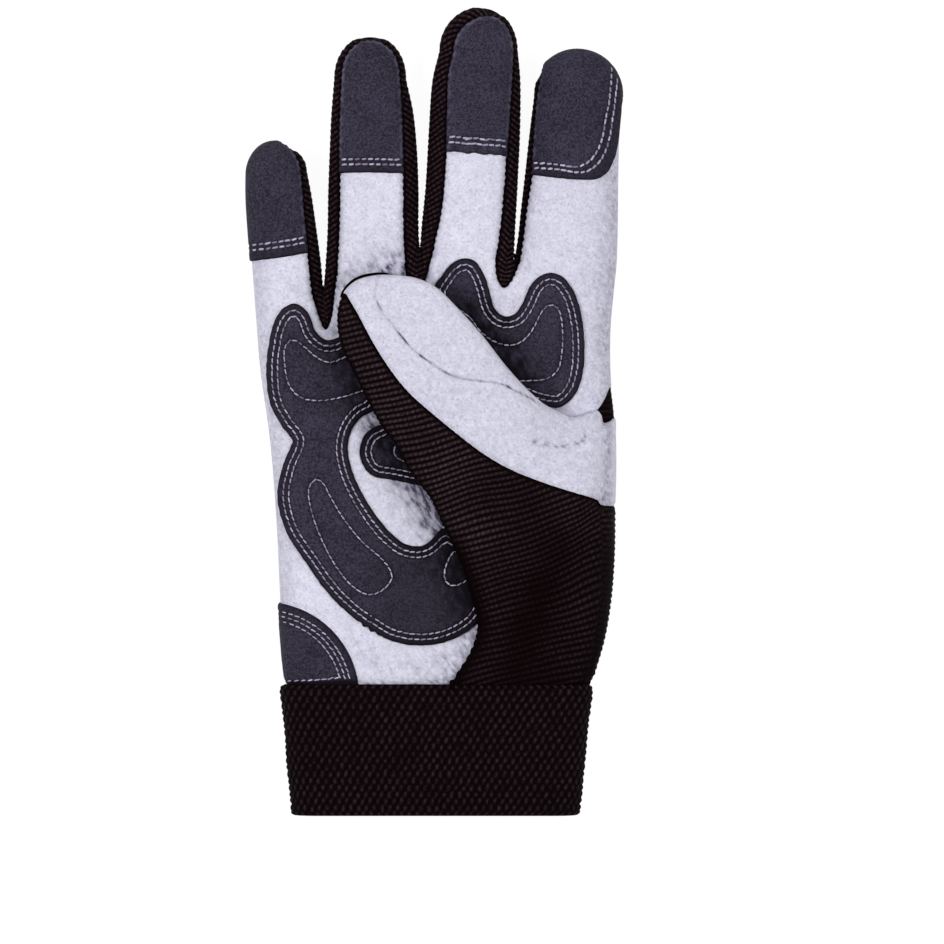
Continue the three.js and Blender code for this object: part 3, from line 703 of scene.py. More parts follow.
class Nodes:
    """Short ways to add and join the nodes of one tree."""

    def __init__(self, tree):
        self.tree = tree

    def add(self, kind, inputs=None, **settings):
        node = self.tree.nodes.new(kind)
        for key, value in settings.items():
            setattr(node, key, value)
        for key, value in (inputs or {}).items():
            self.put(value, node.inputs[key])
        return node

    def put(self, value, socket):
        if isinstance(value, bpy.types.NodeSocket):
            self.tree.links.new(value, socket)
        else:
            socket.default_value = value

    def attribute(self, name):
        return self.add("ShaderNodeAttribute", attribute_name=name).outputs["Fac"]

    def noise(self, vector, scale, detail=2.0, rough=0.5):
        inputs = {"Vector": vector, "Scale": scale, "Detail": detail, "Roughness": rough}
        return self.add("ShaderNodeTexNoise", inputs).outputs["Fac"]

    def math(self, operation, a, b=0.0):
        return self.add("ShaderNodeMath", {0: a, 1: b}, operation=operation).outputs[0]

    def span(self, value, low, high, to_low=0.0, to_high=1.0):
        inputs = {"Value": value, "From Min": low, "From Max": high, "To Min": to_low, "To Max": to_high}
        return self.add("ShaderNodeMapRange", inputs).outputs["Result"]

    def mix(self, share, a, b):
        return self.add("ShaderNodeMix", {0: share, 6: a, 7: b}, data_type="RGBA").outputs[2]


def grain_group():
    """Mottling and fibre relief at three sizes: a value around 0.5 that shades the
    colour and a height for the relief."""
    group, source, result = new_group(
        "grain",
        [("Vector", "NodeSocketVector", (0, 0, 0)), ("Fine", "NodeSocketFloat", 2200.0),
         ("Middle", "NodeSocketFloat", 600.0), ("Broad", "NodeSocketFloat", 70.0)],
        [("Shade", "NodeSocketFloat"), ("Height", "NodeSocketFloat")],
    )
    n = Nodes(group)
    vector = source.outputs["Vector"]
    fine = n.noise(vector, source.outputs["Fine"], 3.0, 0.65)
    middle = n.noise(vector, source.outputs["Middle"], 2.0, 0.6)
    broad = n.noise(vector, source.outputs["Broad"], 2.0, 0.5)
    some = n.math("ADD", n.math("MULTIPLY", fine, 0.56), n.math("MULTIPLY", middle, 0.32))
    shade = n.math("ADD", some, n.math("MULTIPLY", broad, 0.12))
    height = n.math("ADD", n.math("MULTIPLY", fine, 0.6), n.math("MULTIPLY", middle, 0.4))
    n.put(shade, result.inputs["Shade"])
    n.put(height, result.inputs["Height"])
    return group


def yarn_group():
    """Knit ribs broken into stitches: from a rib phase in turns and a distance along
    the rib in millimetres, 1 on the crown of a stitch and 0 between ribs."""
    group, source, result = new_group(
        "yarn",
        [("Rib", "NodeSocketFloat", 0.0), ("Along", "NodeSocketFloat", 0.0),
         ("Pitch", "NodeSocketFloat", 1.5)],
        [("Crest", "NodeSocketFloat")],
    )
    n = Nodes(group)
    rib = source.outputs["Rib"]
    wave = n.math("COSINE", n.math("MULTIPLY", rib, 2 * math.pi))
    crown = n.math("POWER", n.math("ADD", n.math("MULTIPLY", wave, 0.5), 0.5), 1.5)
    number = n.math("FLOOR", n.math("ADD", rib, 0.5))
    turns = n.math("DIVIDE", source.outputs["Along"], source.outputs["Pitch"])
    turns = n.math("ADD", turns, n.math("MULTIPLY", number, 0.37))
    bead = n.math("COSINE", n.math("MULTIPLY", turns, 2 * math.pi))
    bead = n.math("ADD", n.math("MULTIPLY", bead, 0.3), 0.7)
    n.put(n.math("MULTIPLY", crown, bead), result.inputs["Crest"])
    return group


GRAIN = grain_group()
YARN = yarn_group()


def srgb(red, green, blue):
    """An sRGB colour of 0 to 255 as linear values."""
    c = np.array([red, green, blue]) / 255
    linear = np.where(c <= 0.04045, c / 12.92, ((c + 0.055) / 1.055) ** 2.4)
    return (*linear.tolist(), 1.0)


def material(name):
    """An empty material: its nodes, its shader and the vector of its object's own
    coordinates."""
    made = bpy.data.materials.new(name)
    made.use_nodes = True
    tree = made.node_tree
    tree.nodes.clear()
    n = Nodes(tree)
    shader = n.add("ShaderNodeBsdfPrincipled")
    out = n.add("ShaderNodeOutputMaterial", {"Surface": shader.outputs[0]})
    out.is_active_output = True
    vector = n.add("ShaderNodeTexCoord").outputs["Object"]
    return made, n, shader, vector


def use_grain(n, vector, fine, middle, broad):
    """The grain group's shade and height in a material, at three scales."""
    inputs = {"Vector": vector, "Fine": fine, "Middle": middle, "Broad": broad}
    node = n.add("ShaderNodeGroup", inputs, node_tree=GRAIN)
    return node.outputs["Shade"], node.outputs["Height"]


def finish_with(n, shader, colour, roughness, specular, relief):
    """Puts a colour, the two values of its shine and a relief on a shader. The
    relief is a height with the strength and distance of its bumps."""
    height, strength, distance = relief
    bump = n.add("ShaderNodeBump", {"Height": height, "Strength": strength, "Distance": distance})
    values = {"Base Color": colour, "Roughness": roughness, "Specular IOR Level": specular,
              "Normal": bump.outputs[0]}
    for socket, value in values.items():
        n.put(value, shader.inputs[socket])


def suede_material():
    """Pale napped suede: lavender grey, mottled, and darkened in streaks where the attribute dark is high,
    mostly painted shade, with some darker mottling."""
    made, n, shader, vector = material("suede")
    shade, height = use_grain(n, vector, 1300.0, 420.0, 60.0)
    base = n.mix(n.span(shade, 0.40, 0.60), srgb(197, 195, 212), srgb(221, 220, 235))
    flecks = n.span(n.noise(vector, 1000.0, 1.0, 0.5), 0.30, 0.40)
    napped = n.mix(flecks, srgb(190, 188, 205), base)
    inputs = {"Vector": vector, "Rotation": (0, 0, math.radians(-53)), "Scale": (2.4, 1, 1)}
    streaks = n.add("ShaderNodeMapping", inputs, vector_type="TEXTURE")
    # Streaks that break up the painted shade.
    shade_streaks = n.span(n.noise(streaks.outputs[0], 820.0, 3.0, 0.6), 0.36, 0.64, 0.4, 1.6)
    dark = n.math("MINIMUM", n.math("MULTIPLY", n.attribute("dark"), shade_streaks), 1.0)
    # Towards the painted shade's grey-blue colour where dark is high.
    colour = n.mix(dark, napped, srgb(76, 72, 96))
    finish_with(n, shader, colour, 0.95, 0.1, (height, 0.6, 0.0004))
    n.put(0.12, shader.inputs["Sheen Weight"])
    n.put(0.6, shader.inputs["Sheen Roughness"])
    return made


def leather_material():
    """Dark blue-grey synthetic leather: matt, finely mottled, darker at its cut edge and beside the stitches,
    with painted shade in its grooves, beside the thumb and at the cuff, and a painted highlight along the
    caps' rims."""
    made, n, shader, vector = material("dark_leather")
    shade, height = use_grain(n, vector, 1900.0, 1050.0, 110.0)
    base = n.mix(n.span(shade, 0.42, 0.58), srgb(30, 26, 38), srgb(62, 58, 75))
    # Paler towards the painted highlight's colour along the caps' rims.
    base = n.mix(n.attribute("edge_shade_and_highlight"), base, srgb(118, 112, 138))
    # Darker where dark is high: the cut edges and the painted shade.
    colour = n.mix(n.attribute("dark"), base, srgb(11, 6, 15))
    finish_with(n, shader, colour, 0.85, 0.14, (height, 0.5, 0.0003))
    return made


def knit_material(name, valley, crest, strength):
    """Black knit: the crowns of its stitches paler than the valleys, a painted highlight over painted shade,
    with uneven yarn. The attribute lit is 1 where the crowns take their full painted highlight."""
    made, n, shader, vector = material(name)
    shade, height = use_grain(n, vector, 1500.0, 700.0, 45.0)
    inputs = {"Rib": n.attribute("rib"), "Along": n.attribute("along")}
    yarn = n.add("ShaderNodeGroup", inputs, node_tree=YARN)
    mottle = n.span(shade, 0.38, 0.62, 0.25, 1.35)
    share = n.math("MULTIPLY", n.math("MULTIPLY", yarn.outputs["Crest"], mottle), n.attribute("lit"))
    colour = n.mix(n.math("MULTIPLY", share, strength), valley, crest)
    finish_with(n, shader, colour, 0.9, 0.03, (height, 0.6, 0.0003))
    return made


def elastic_material():
    """Black woven elastic: its bumps a painted highlight, a little paler than the gaps between them."""
    made, n, shader, vector = material("elastic")
    shade, height = use_grain(n, vector, 1200.0, 480.0, 150.0)
    mottle = n.span(shade, 0.38, 0.62, 0.1, 1.5)
    colour = n.mix(n.math("MULTIPLY", n.attribute("crest"), mottle), srgb(6, 1, 2), srgb(47, 33, 39))
    finish_with(n, shader, colour, 0.85, 0.04, (height, 0.5, 0.0003))
    return made


def thread_material():
    """Lilac-grey sewing thread, each stitch a little paler or darker."""
    made, n, shader, vector = material("thread")
    colour = n.mix(n.attribute("tone"), srgb(104, 98, 122), srgb(186, 179, 204))
    finish_with(n, shader, colour, 0.6, 0.5, (n.noise(vector, 3200.0, 1.0), 0.5, 0.0002))
    return made


SUEDE = suede_material()
LEATHER = leather_material()
# The colours of the knit's valleys and crowns: painted shade and painted highlight.
KNIT = knit_material("knit", srgb(9, 2, 3), srgb(78, 64, 71), 0.95)
STRIP_KNIT = knit_material("strip_knit", srgb(6, 1, 2), srgb(62, 46, 53), 1.0)
ELASTIC = elastic_material()
THREAD = thread_material()


# The sheets of the hand.

THUMB_OUTLINE = smooth(np.array(THUMB_LEFT + THUMB_RIGHT + THUMB_FOLD), CURVE_STEP)
THUMB = Line(THUMB_OUTLINE, closed=False)


def fold_shade(xy, reach):
    """The painted shade on the palm beside the folded thumb: deepest at the thumb's edge, and uneven, in
    streaks."""
    away = np.maximum(-THUMB.distance(xy), 0)
    # The painted shade is broken into uneven streaks.
    shade_streaks = 0.8 + uneven(xy, "fold shade")
    return np.clip(spread(FOLD_SHADE, xy) * shade_streaks * np.exp(-(away / reach) ** 1.5), 0, 1)


def nearest_index(points, place):
    """Which of the points is nearest to a place."""
    return int(np.argmin(((points - np.array(place)) ** 2).sum(1)))


BEYOND = OUTLINE - HAND.normals * SIDE_WRAP


def front_outline():
    """The suede front: up the outside of the little finger, over its tip, along the
    seams between the fingers, round the index finger and down to the cuff."""
    first = nearest_index(OUTLINE, SEAMS[0][0])
    last = nearest_index(OUTLINE, SEAMS[2][-1])
    fold = nearest_index(OUTLINE, (54.8, 11.0))
    second = SEAMS[1][nearest_index(SEAMS[1], SEAMS[0][-1]):]
    third = SEAMS[2][nearest_index(SEAMS[2], SEAMS[1][-1]):]
    side = resample([BEYOND[fold], FRONT_FOLD[0]], 0.5)[:-1]
    base = resample([(7.0, SHEET_END), (BASE_LEFT, SHEET_END)], 1.2)[:-1]
    return clockwise(np.vstack([
        BEYOND[:first - 1], SEAMS[0], second[1:], third[1:], BEYOND[last + 2:fold], side,
        smooth(FRONT_FOLD, 1.2), base,
    ]))


FRONT = front_outline()
FRONT_LINE = Line(FRONT, closed=True)


def edge_rows(reach, count):
    """Depths of rings that crowd towards an edge, as the cosine of equal angles."""
    return reach * (1 - np.cos(np.linspace(0, np.pi / 2, count + 1)))[1:]


def hand_sheet(name, outline, depths, grid, raised_by, thickness):
    """A sheet on the hand's surface, with rings of points at the given depths.
    raised_by gives its height over the surface, and its attributes."""
    flat, faces, _ = fill(outline, depths, grid)
    points, normal, inside, lift = hand_surface(flat)
    raised, attributes = raised_by(flat, inside)
    obj = add_mesh(name, points + normal * (lift + raised)[:, None], faces, attributes)
    return wall(obj, thickness)


def surface_over(raised_by):
    """The upper side of such a sheet, for the stitches on it: places and normals."""
    def surface(xy):
        points, normal, inside, lift = hand_surface(xy)
        return points + normal * (lift + raised_by(xy, inside)[0])[:, None], normal
    return surface


def build_palm_panel():
    """The suede front, with painted shade at its rolled edges, towards its right side, in its creases, along
    the cuff and beside the thumb, and darker mottling towards the heel."""
    def raised_by(flat, inside):
        raised = uneven(flat, "palm") * step_up(inside, 1, 5)
        edge_shade_and_highlight = 1 - step_up(inside, 0.5, 8.0)
        mottle = patches(flat, (2.6, 1.9), 43, -0.9, 1.1)
        right = step_up(flat[:, 0], 38, 50)
        # Painted shade at the rolled edges, uneven and stronger towards the right, and a painted shade
        # gradient to the right.
        dark = edge_shade_and_highlight * (0.10 + (0.12 + 0.06 * right) * mottle) + 0.05 * right
        dark += 0.05 * step_up(flat[:, 0], 10, 40)
        # Painted shade along the cuff's edge and in the creases.
        dark += mottle * beside_line(flat[:, 1] - HAND_END, SHADE["cuff edge"]) + 0.45 * creases(flat)
        dark += 0.12 * mottle * step_up(-flat[:, 1], 66, 80)
        # Painted shade beside the folded thumb.
        return raised, {"dark": np.clip(dark + 1.2 * fold_shade(flat, 6.6), 0, 1)}

    depths = np.concatenate([[0.5, 1.1, 1.8], SIDE_WRAP + edge_rows(5.0, 5)])
    obj = hand_sheet("palm_suede", FRONT, depths, lattice(*HAND_BOX, 1.25, 1.25), raised_by, CLOTH)
    return declare(obj, SUEDE, "palm_panel")


def build_strip(index):
    """A knit strip between two fingers: rows run along the suede seam, columns from
    the seam over the fingers' edges and down to the back, with slanting ribs."""
    seam, line = SEAMS[index], SEAM_LINES[index]
    parting, meeting = PARTINGS[index]
    turn_seam, turn_side = nearest_index(seam, meeting), nearest_index(OUTLINE, parting)
    start, end = nearest_index(OUTLINE, seam[0]), nearest_index(OUTLINE, seam[-1])
    halves = []
    for inner, outer in ((seam[:turn_seam + 1], OUTLINE[start:turn_side + 1]),
                         (seam[turn_seam:], OUTLINE[turn_side:end + 1])):
        count = int(max(len(inner), len(outer)) * CURVE_STEP / STRIP_STEP)
        halves.append((stretch(inner, count), stretch(outer, count)))
    inner, outer = (np.vstack([halves[0][k], halves[1][k][1:]]) for k in (0, 1))
    columns = np.sin(np.linspace(0, np.pi / 2, 15))
    down = np.linspace(0, 1, 5)[1:]
    out = -normals_of(outer, False)
    level = inner[:, None] + (outer - inner)[:, None] * columns[:, None]
    beyond = outer[:, None] + out[:, None] * (SIDE_WRAP * down)[:, None]
    flat = np.concatenate([level, beyond], axis=1)
    count, wide = flat.shape[:2]
    flat = flat.reshape(-1, 2)
    points, normal, inside, lift = hand_surface(flat)
    grid, normal = points.reshape(count, wide, 3), normal.reshape(count, wide, 3)
    side = len(columns)
    grid[:, side:, :2] = grid[:, side - 1:side, :2] - (out * SIDE_TUCK)[:, None] * down[:, None] ** 2
    grid[:, side:, 2] = HAND_WIDEST - (HAND_WIDEST - SEAM_HEIGHT) * down
    normal[:, side:, :2] = out[:, None]
    normal[:, side:, 2] = 0
    away, _, _, run, _ = line.nearest(flat)
    across = np.abs(away).reshape(count, wide)
    climb = np.abs(run - line.run[turn_seam]).reshape(count, wide)
    cosine, sine = math.cos(STRIP_RIB_SLANT), math.sin(STRIP_RIB_SLANT)
    phase = (climb * cosine + across * sine) / STRIP_RIB_PITCH
    along = across * cosine - climb * sine
    height = -0.25 + 0.34 * ribs(phase) ** 0.8 + lift.reshape(count, wide) * 0.6
    row = np.arange(count)
    ends = step_up(np.minimum(row, row[::-1]) / STRIP_END_ROWS, 0, 1)[:, None]
    height = height * ends - 0.45 * (1 - ends)
    grid[..., :2] -= (0.6 * out * (1 - ends))[:, None]
    points = (grid + normal * height[..., None]).reshape(-1, 3)
    names = list(FINGERS)
    node = f"strip_{names[index]}_{names[index + 1]}"
    # How much painted highlight the ribs take: less beside the seam and painted shade on the sides going
    # down.
    lit = step_up(across, 0.2, 1.2) * (0.3 + 0.7 * step_up(inside.reshape(count, wide), -1.2, 1.0))
    obj = add_mesh(f"knit_{node}", points, grid_faces(count, wide, turn=1),
                   {"rib": phase, "along": along, "lit": lit})
    return declare(wall(obj, CLOTH), STRIP_KNIT, node)


def build_back():
    """The knit back: level where it lies, and rising round its edge to the side
    seam as a quarter circle."""
    base = resample([(47.0, SHEET_END), (BASE_LEFT, SHEET_END)], 1.4)
    outline = clockwise(np.vstack([OUTLINE, base]))
    reach = 5.0
    flat, faces, _ = fill(outline, edge_rows(reach, 5), lattice(*HAND_BOX, 1.6, 1.6))
    distance, _, inward, _, _ = HAND.nearest(flat)
    c = 1 - np.clip(np.maximum(distance, 0) / reach, 0, 1)
    z = SEAM_HEIGHT * (1 - np.sqrt(np.maximum(1 - c ** 2, 0))) + 0.02
    points = np.column_stack([flat + inward * (0.3 * c ** 3)[:, None], z])
    phase = (flat[:, 1] - flat[:, 0] * 0.12) / RIB_PITCH
    obj = add_mesh("knit_back", points, faces[:, ::-1],
                   {"rib": phase, "along": flat[:, 0], "lit": np.full(len(flat), 0.6)})
    return declare(wall(obj, CLOTH), KNIT, "back_panel")


def build_fold_knit():
    """The black knit that shows between the suede's fold and the hand's side."""
    rows, columns = 90, 14
    inner = smooth([(54.5, 12.0), (53.8, 6.4), (52.6, 3.4), (50.6, 0.8), (50.8, -3.0), (51.8, -16.0)], 0.5)
    first, last = nearest_index(OUTLINE, (54.8, 12.0)), nearest_index(OUTLINE, (56.4, -16.0))
    inner, outer = stretch(inner, rows), stretch(OUTLINE[first:last + 1], rows)
    share = np.linspace(0, 1, columns)
    flat = (inner[:, None] + (outer - inner)[:, None] * share[:, None]).reshape(-1, 2)
    points, normal, _, _ = hand_surface(flat)
    phase = flat[:, 1] / RIB_PITCH
    points = points + normal * (-0.5 + 0.3 * ribs(phase))[:, None]
    points, phase = points.reshape(rows, columns, 3), phase.reshape(rows, columns)
    low = points[:, -1:].copy()
    low[..., 2] = SEAM_HEIGHT
    grid = np.concatenate([points, low], 1).reshape(-1, 3)
    phase = np.concatenate([phase, phase[:, -1:]], 1)
    # The ribs here take little of the painted highlight: painted shade in the fold.
    obj = add_mesh("knit_fold", grid, grid_faces(rows, columns + 1),
                   {"rib": phase, "along": np.zeros(phase.size), "lit": np.full(phase.size, 0.15)})
    return declare(wall(obj, CLOTH), KNIT)


# Reinforcements with their stitches.

def capsule():
    """One stitch: a round bar along X with six sides, thin at both ends, sunk in at
    its ends as thread is. Lengths from -0.5 to 0.5."""
    x = np.array([-0.5, -0.42, -0.2, 0.2, 0.42, 0.5])
    size = np.array([0.25, 0.75, 1.0, 1.0, 0.75, 0.25])
    sink = np.array([-0.9, -0.25, 0.0, 0.0, -0.25, -0.9])
    sides = 6
    angle = np.arange(sides) * 2 * np.pi / sides
    y = 0.5 * size[:, None] * np.cos(angle)
    z = 0.5 * size[:, None] * np.sin(angle) + sink[:, None] * 0.6
    points = np.stack([np.repeat(x[:, None], sides, 1), y, z], -1).reshape(-1, 3)
    faces = []
    last = (len(x) - 1) * sides
    for start in range(0, last, sides):
        for side in range(sides):
            a, b = start + side, start + (side + 1) % sides
            faces += [(a, a + sides, b), (b, a + sides, b + sides)]
    for k in range(1, sides - 1):
        faces += [(0, k, k + 1), (last, last + k + 1, last + k)]
    return points, np.array(faces)[:, ::-1]


CAPSULE = capsule()


def stitch_row(path, surface, seed, bold):
    """Stitches along a plan path on a surface: places, faces and a tone for each.
    Each lies along the path, turned a little, its length and tone a little uneven."""
    local = np.random.default_rng(seed)
    places = resample(path, STITCH["pitch"])
    middle = (places[1:] + places[:-1]) / 2
    along = unit(places[1:] - places[:-1])
    turn = local.normal(STITCH["slant"], 0.06, len(middle))
    cosine, sine = np.cos(turn), np.sin(turn)
    along = np.column_stack([along[:, 0] * cosine - along[:, 1] * sine,
                             along[:, 0] * sine + along[:, 1] * cosine])
    reach = 0.4
    centre, up = surface(middle)
    forward = unit(surface(middle + along * reach)[0] - surface(middle - along * reach)[0])
    side = unit(np.cross(up, forward))
    up = np.cross(forward, side)
    shape, faces = CAPSULE
    length = STITCH["length"] * local.normal(1, 0.07, len(middle))
    parts = (forward[:, None] * shape[:, :1] * length[:, None, None]
             + side[:, None] * shape[:, 1:2] * STITCH["width"] * bold
             + up[:, None] * (shape[:, 2:3] * STITCH["height"] + 0.1 * bold))
    points = (centre[:, None] + parts).reshape(-1, 3)
    starts = np.arange(len(middle)) * len(shape)
    tone = np.repeat(np.clip(local.normal(0.52, 0.3, len(middle)), 0, 1), len(shape))
    return points, (faces + starts[:, None, None]).reshape(-1, 3), tone


def add_stitches(name, paths, surface, seed, bold=1.0):
    """All the rows of stitches of one reinforcement as one mesh, their thread thicker
    by the share bold."""
    points, faces, tones, start = [], [], [], 0
    for k, path in enumerate(paths):
        places, corners, tone = stitch_row(path, surface, seed + k, bold)
        points.append(places)
        faces.append(corners + start)
        tones.append(tone)
        start += len(places)
    obj = add_mesh(name, np.vstack(points), np.vstack(faces), {"tone": np.concatenate(tones)})
    return declare(obj, THREAD)


def sewn_edge(away, rows, thickness, rim_dark):
    """A sewn reinforcement at a distance from its cut edge: its height over the
    cloth, rounded at the edge with a groove along each row of stitches, and its
    darkness, from the edge to just past the last row."""
    lift = 0.15 + thickness * rounded(away, 0.7)
    for row in rows:
        lift += beside_line(away - row, RELIEF["stitches"])
    past = step_up(away, rows[-1] + 0.2, rows[-1] + 0.9)
    return lift, beside_line(away, SHADE["cut edge"]) + rim_dark * (1 - past)


def build_pad(name, node, outline, quilts, puff, seed):
    """A dark pad sewn on the palm with two rows of stitches round its edge and
    quilted lines inside, with soft filling between the rows."""
    outline = clockwise(smooth(outline, CURVE_STEP, closed=True))
    near = np.linalg.norm(outline - np.array(PAD_JAGS["place"]), axis=1) / PAD_JAGS["reach"]
    jags = PAD_JAGS["height"] * np.cos(2 * np.pi * outline[:, 0] / PAD_JAGS["pitch"]) * np.exp(-near ** 4)
    rough = 0.08 * lumps(outline, (3.6, 2.4), seed + 3)
    outline = outline + normals_of(outline, True) * (rough + jags)[:, None]
    edge = Line(outline, closed=True)
    quilts = [Line(smooth(path, CURVE_STEP, closed), closed) for path, closed in quilts]

    def raised_by(flat, inside):
        away = np.maximum(edge.distance(flat), 0)
        lift, dark = sewn_edge(away, PAD_STITCHES, 1.05, 0.5)
        room = np.maximum(away - PAD_STITCHES[-1], 0)
        for quilt in quilts:
            beside = np.abs(quilt.distance(flat))
            lift += beside_line(beside, RELIEF["quilting"])
            # Painted shade in the quilted grooves.
            dark += beside_line(beside, SHADE["quilting"])
            room = np.minimum(room, beside)
        lift += puff * (1 - np.exp(-room / 3.2))
        # Painted shade deepening towards the lower right, towards the thumb.
        dark += 0.28 * step_up(flat[:, 0], -38, -8) * step_up(-flat[:, 1], 28, 52)
        # Painted shade beside the folded thumb.
        return lift, {"dark": np.clip(dark + 1.25 * fold_shade(flat, 8.5), 0, 1)}

    grid = lattice(outline.min(0), outline.max(0), 1.0, 1.0)
    for quilt in quilts:
        grid = grid[np.abs(quilt.distance(grid)) > 0.8]
    beside = [quilt.points + quilt.normals * side for quilt in quilts for side in (-0.45, 0.0, 0.45)]
    obj = hand_sheet(name, outline, PAD_RINGS, np.vstack([grid, *beside]), raised_by, PAD_LEATHER)
    declare(obj, LEATHER, node)
    paths = [np.vstack([ring, ring[:1]]) for ring in rings_inside(edge, PAD_STITCHES, 0.97)]
    for quilt in quilts:
        paths.append(np.vstack([quilt.points, quilt.points[:1]]) if quilt.closed else quilt.points)
    return add_stitches(f"stitches_{node}", paths, surface_over(raised_by), seed)


def build_heel_patch():
    """The quarter-round patch on the heel, wrapped round the hand's side."""
    angle = np.linspace(np.radians(100), np.radians(-2), 60)
    centre, radius = np.array(HEEL_PATCH["centre"]), HEEL_PATCH["radius"]
    arc = centre + radius * np.column_stack([np.cos(angle), np.sin(angle)])
    arc = arc[(arc[:, 1] > SHEET_END) & (HAND.distance(arc) > -SIDE_WRAP)]
    top = nearest_index(BEYOND, (-50.3, -60.0))
    base = resample([(-24.2, SHEET_END), (-47.0, SHEET_END)], 0.8)
    outline = clockwise(resample(np.vstack([BEYOND[1:top], arc, base]), 0.7, closed=True))
    edge = Line(resample(arc, 0.5), closed=False)

    def raised_by(flat, inside):
        lift, dark = sewn_edge(np.abs(edge.distance(flat)), HEEL_STITCHES, 0.85, 0.3)
        # Painted shadow where the patch meets the cuff.
        dark += 0.95 * step_up(HAND_END + 1.7 - flat[:, 1], 0, 1.0)
        return lift, {"dark": np.clip(dark + 0.08, 0, 1)}

    grid = lattice((-52, -86), (-22, -57), 0.8, 0.8)
    obj = hand_sheet("patch_heel", outline, [], grid, raised_by, PAD_LEATHER)
    declare(obj, LEATHER, "pad_heel")
    paths = []
    for row in HEEL_STITCHES:
        ring = centre + (arc - centre) * (1 - row / radius)
        paths.append(ring[(HAND.distance(ring) > 0.3) & (ring[:, 1] > HAND_END + 1.0)])
    paths.append(np.array(HEEL_BASE_STITCHES))
    return add_stitches("stitches_pad_heel", paths, surface_over(raised_by), 60)


def build_cap(name, seed):
    """A fingertip cap over the suede, sewn into the seams at its sides, with two
    rows of stitches along its lower edge."""
    curve = smooth(CAP_EDGES[name], CURVE_STEP)
    waves = CAP_WAVES[name] * lumps(curve, (3.4,), seed + 5) * step_up(HAND.distance(curve), 0.5, 2)
    curve = curve + normals_of(curve, False) * waves[:, None]
    curve = curve[FRONT_LINE.distance(curve) > 0.1]
    start, end = nearest_index(FRONT, curve[0]), nearest_index(FRONT, curve[-1])
    outline = clockwise(resample(np.vstack([FRONT[start:end + 1], curve[::-1]]), 0.65, closed=True))
    edge = Line(curve, closed=False)
    if name == "index":
        rows = [smooth(row, 0.5) for row in INDEX_CAP_STITCHES]
    else:
        rows = [curve - edge.normals * depth for depth in CAP_STITCHES[name]]
    row_lines = [Line(row, closed=False) for row in rows]

    def raised_by(flat, inside):
        away = np.abs(edge.distance(flat))
        nearest = np.minimum(*(np.abs(line.distance(flat)) for line in row_lines))
        lift = 0.1 + 0.62 * rounded(away, 0.6) + beside_line(nearest, RELIEF["cap stitches"])
        past = step_up(row_lines[-1].distance(flat), -0.9, -0.2)
        dark = np.clip(beside_line(away, SHADE["cut edge"]) + 0.42 * past, 0, 1)
        # A painted highlight in patches just inside the cap's rim.
        rim_highlight = beside_line(FRONT_LINE.distance(flat) - 0.7, SHADE["cap rim highlight"])
        edge_shade_and_highlight = rim_highlight * patches(flat, (4.0, 2.4), 51, -0.7, 0.6) * (inside > 0.8)
        return lift, {"dark": dark, "edge_shade_and_highlight": edge_shade_and_highlight * (1 - dark)}

    depths = np.concatenate([[0.35, 0.7, 1.1, 1.6], SIDE_WRAP * 0.9 + edge_rows(4.0, 5)])
    grid = lattice(outline.min(0), outline.max(0), 0.8, 0.8)
    obj = hand_sheet(f"cap_{name}_leather", outline, depths, grid, raised_by, CAP_LEATHER)
    declare(obj, LEATHER, f"cap_{name}")
    area = Line(outline, closed=True)
    paths = [row[(area.distance(row) > 0.5) & (HAND.distance(row) > 0.4)] for row in rows]
    return add_stitches(f"stitches_cap_{name}", paths, surface_over(raised_by), seed, CAP_THREAD)


# The thumb.

CREASE = Line(smooth(THUMB_CREASE, CURVE_STEP), closed=False)
VALLEY = Line(smooth(THUMB_VALLEY, 0.8), closed=False)
LOW_CREASE = Line(smooth(THUMB_LOW_CREASE, CURVE_STEP), closed=False)
SIDE_FOLD = Line(smooth(THUMB_SIDE_FOLD, CURVE_STEP), closed=False)
SEAM_CURVE = smooth(THUMB_SEAM, CURVE_STEP)
THUMB_SEAM_LINE = Line(SEAM_CURVE, closed=False)


def thumb_surface(xy, upper):
    """The folded thumb's upper side or underside, rolled over at its outline: places,
    normals, the distance inside and a height along the normals."""
    rows = np.array(THUMB_TOP if upper else THUMB_UNDER)
    high = np.interp(xy[:, 1], rows[:, 0], rows[:, 1])
    if upper:
        high = high - 10.0 * step_up(xy[:, 0], 24, 47) * step_up(xy[:, 1], -30, -3)
    radius = np.interp(xy[:, 1], *THUMB_ROLL)
    points, normal, inside = roll(xy, THUMB, None, high, radius, THUMB_POWER if upper else THUMB_UNDER_POWER)
    lift = np.zeros(len(xy))
    if upper:
        crease = CREASE.distance(xy)
        soft = step_up(inside, 0, 5)
        lift += uneven(xy, "thumb") * soft
        lift += beside_line(crease, RELIEF["crease"])
        lift += beside_line(crease - 2.0, RELIEF["beside crease"]) * soft
        lift += beside_line(LOW_CREASE.distance(xy), RELIEF["low crease"])
        lift += beside_line(SIDE_FOLD.distance(xy), RELIEF["side fold"])
        lift += uneven(xy, "thumb nap") * soft
        lift += beside_line(THUMB_SEAM_LINE.distance(xy), RELIEF["thumb seam"])
        lift += beside_line(VALLEY.distance(xy), RELIEF["valley"]) * soft * step_up(xy[:, 1], -84, -62)
        lift -= tucked(xy[:, 1])
    return points, normal, inside, lift


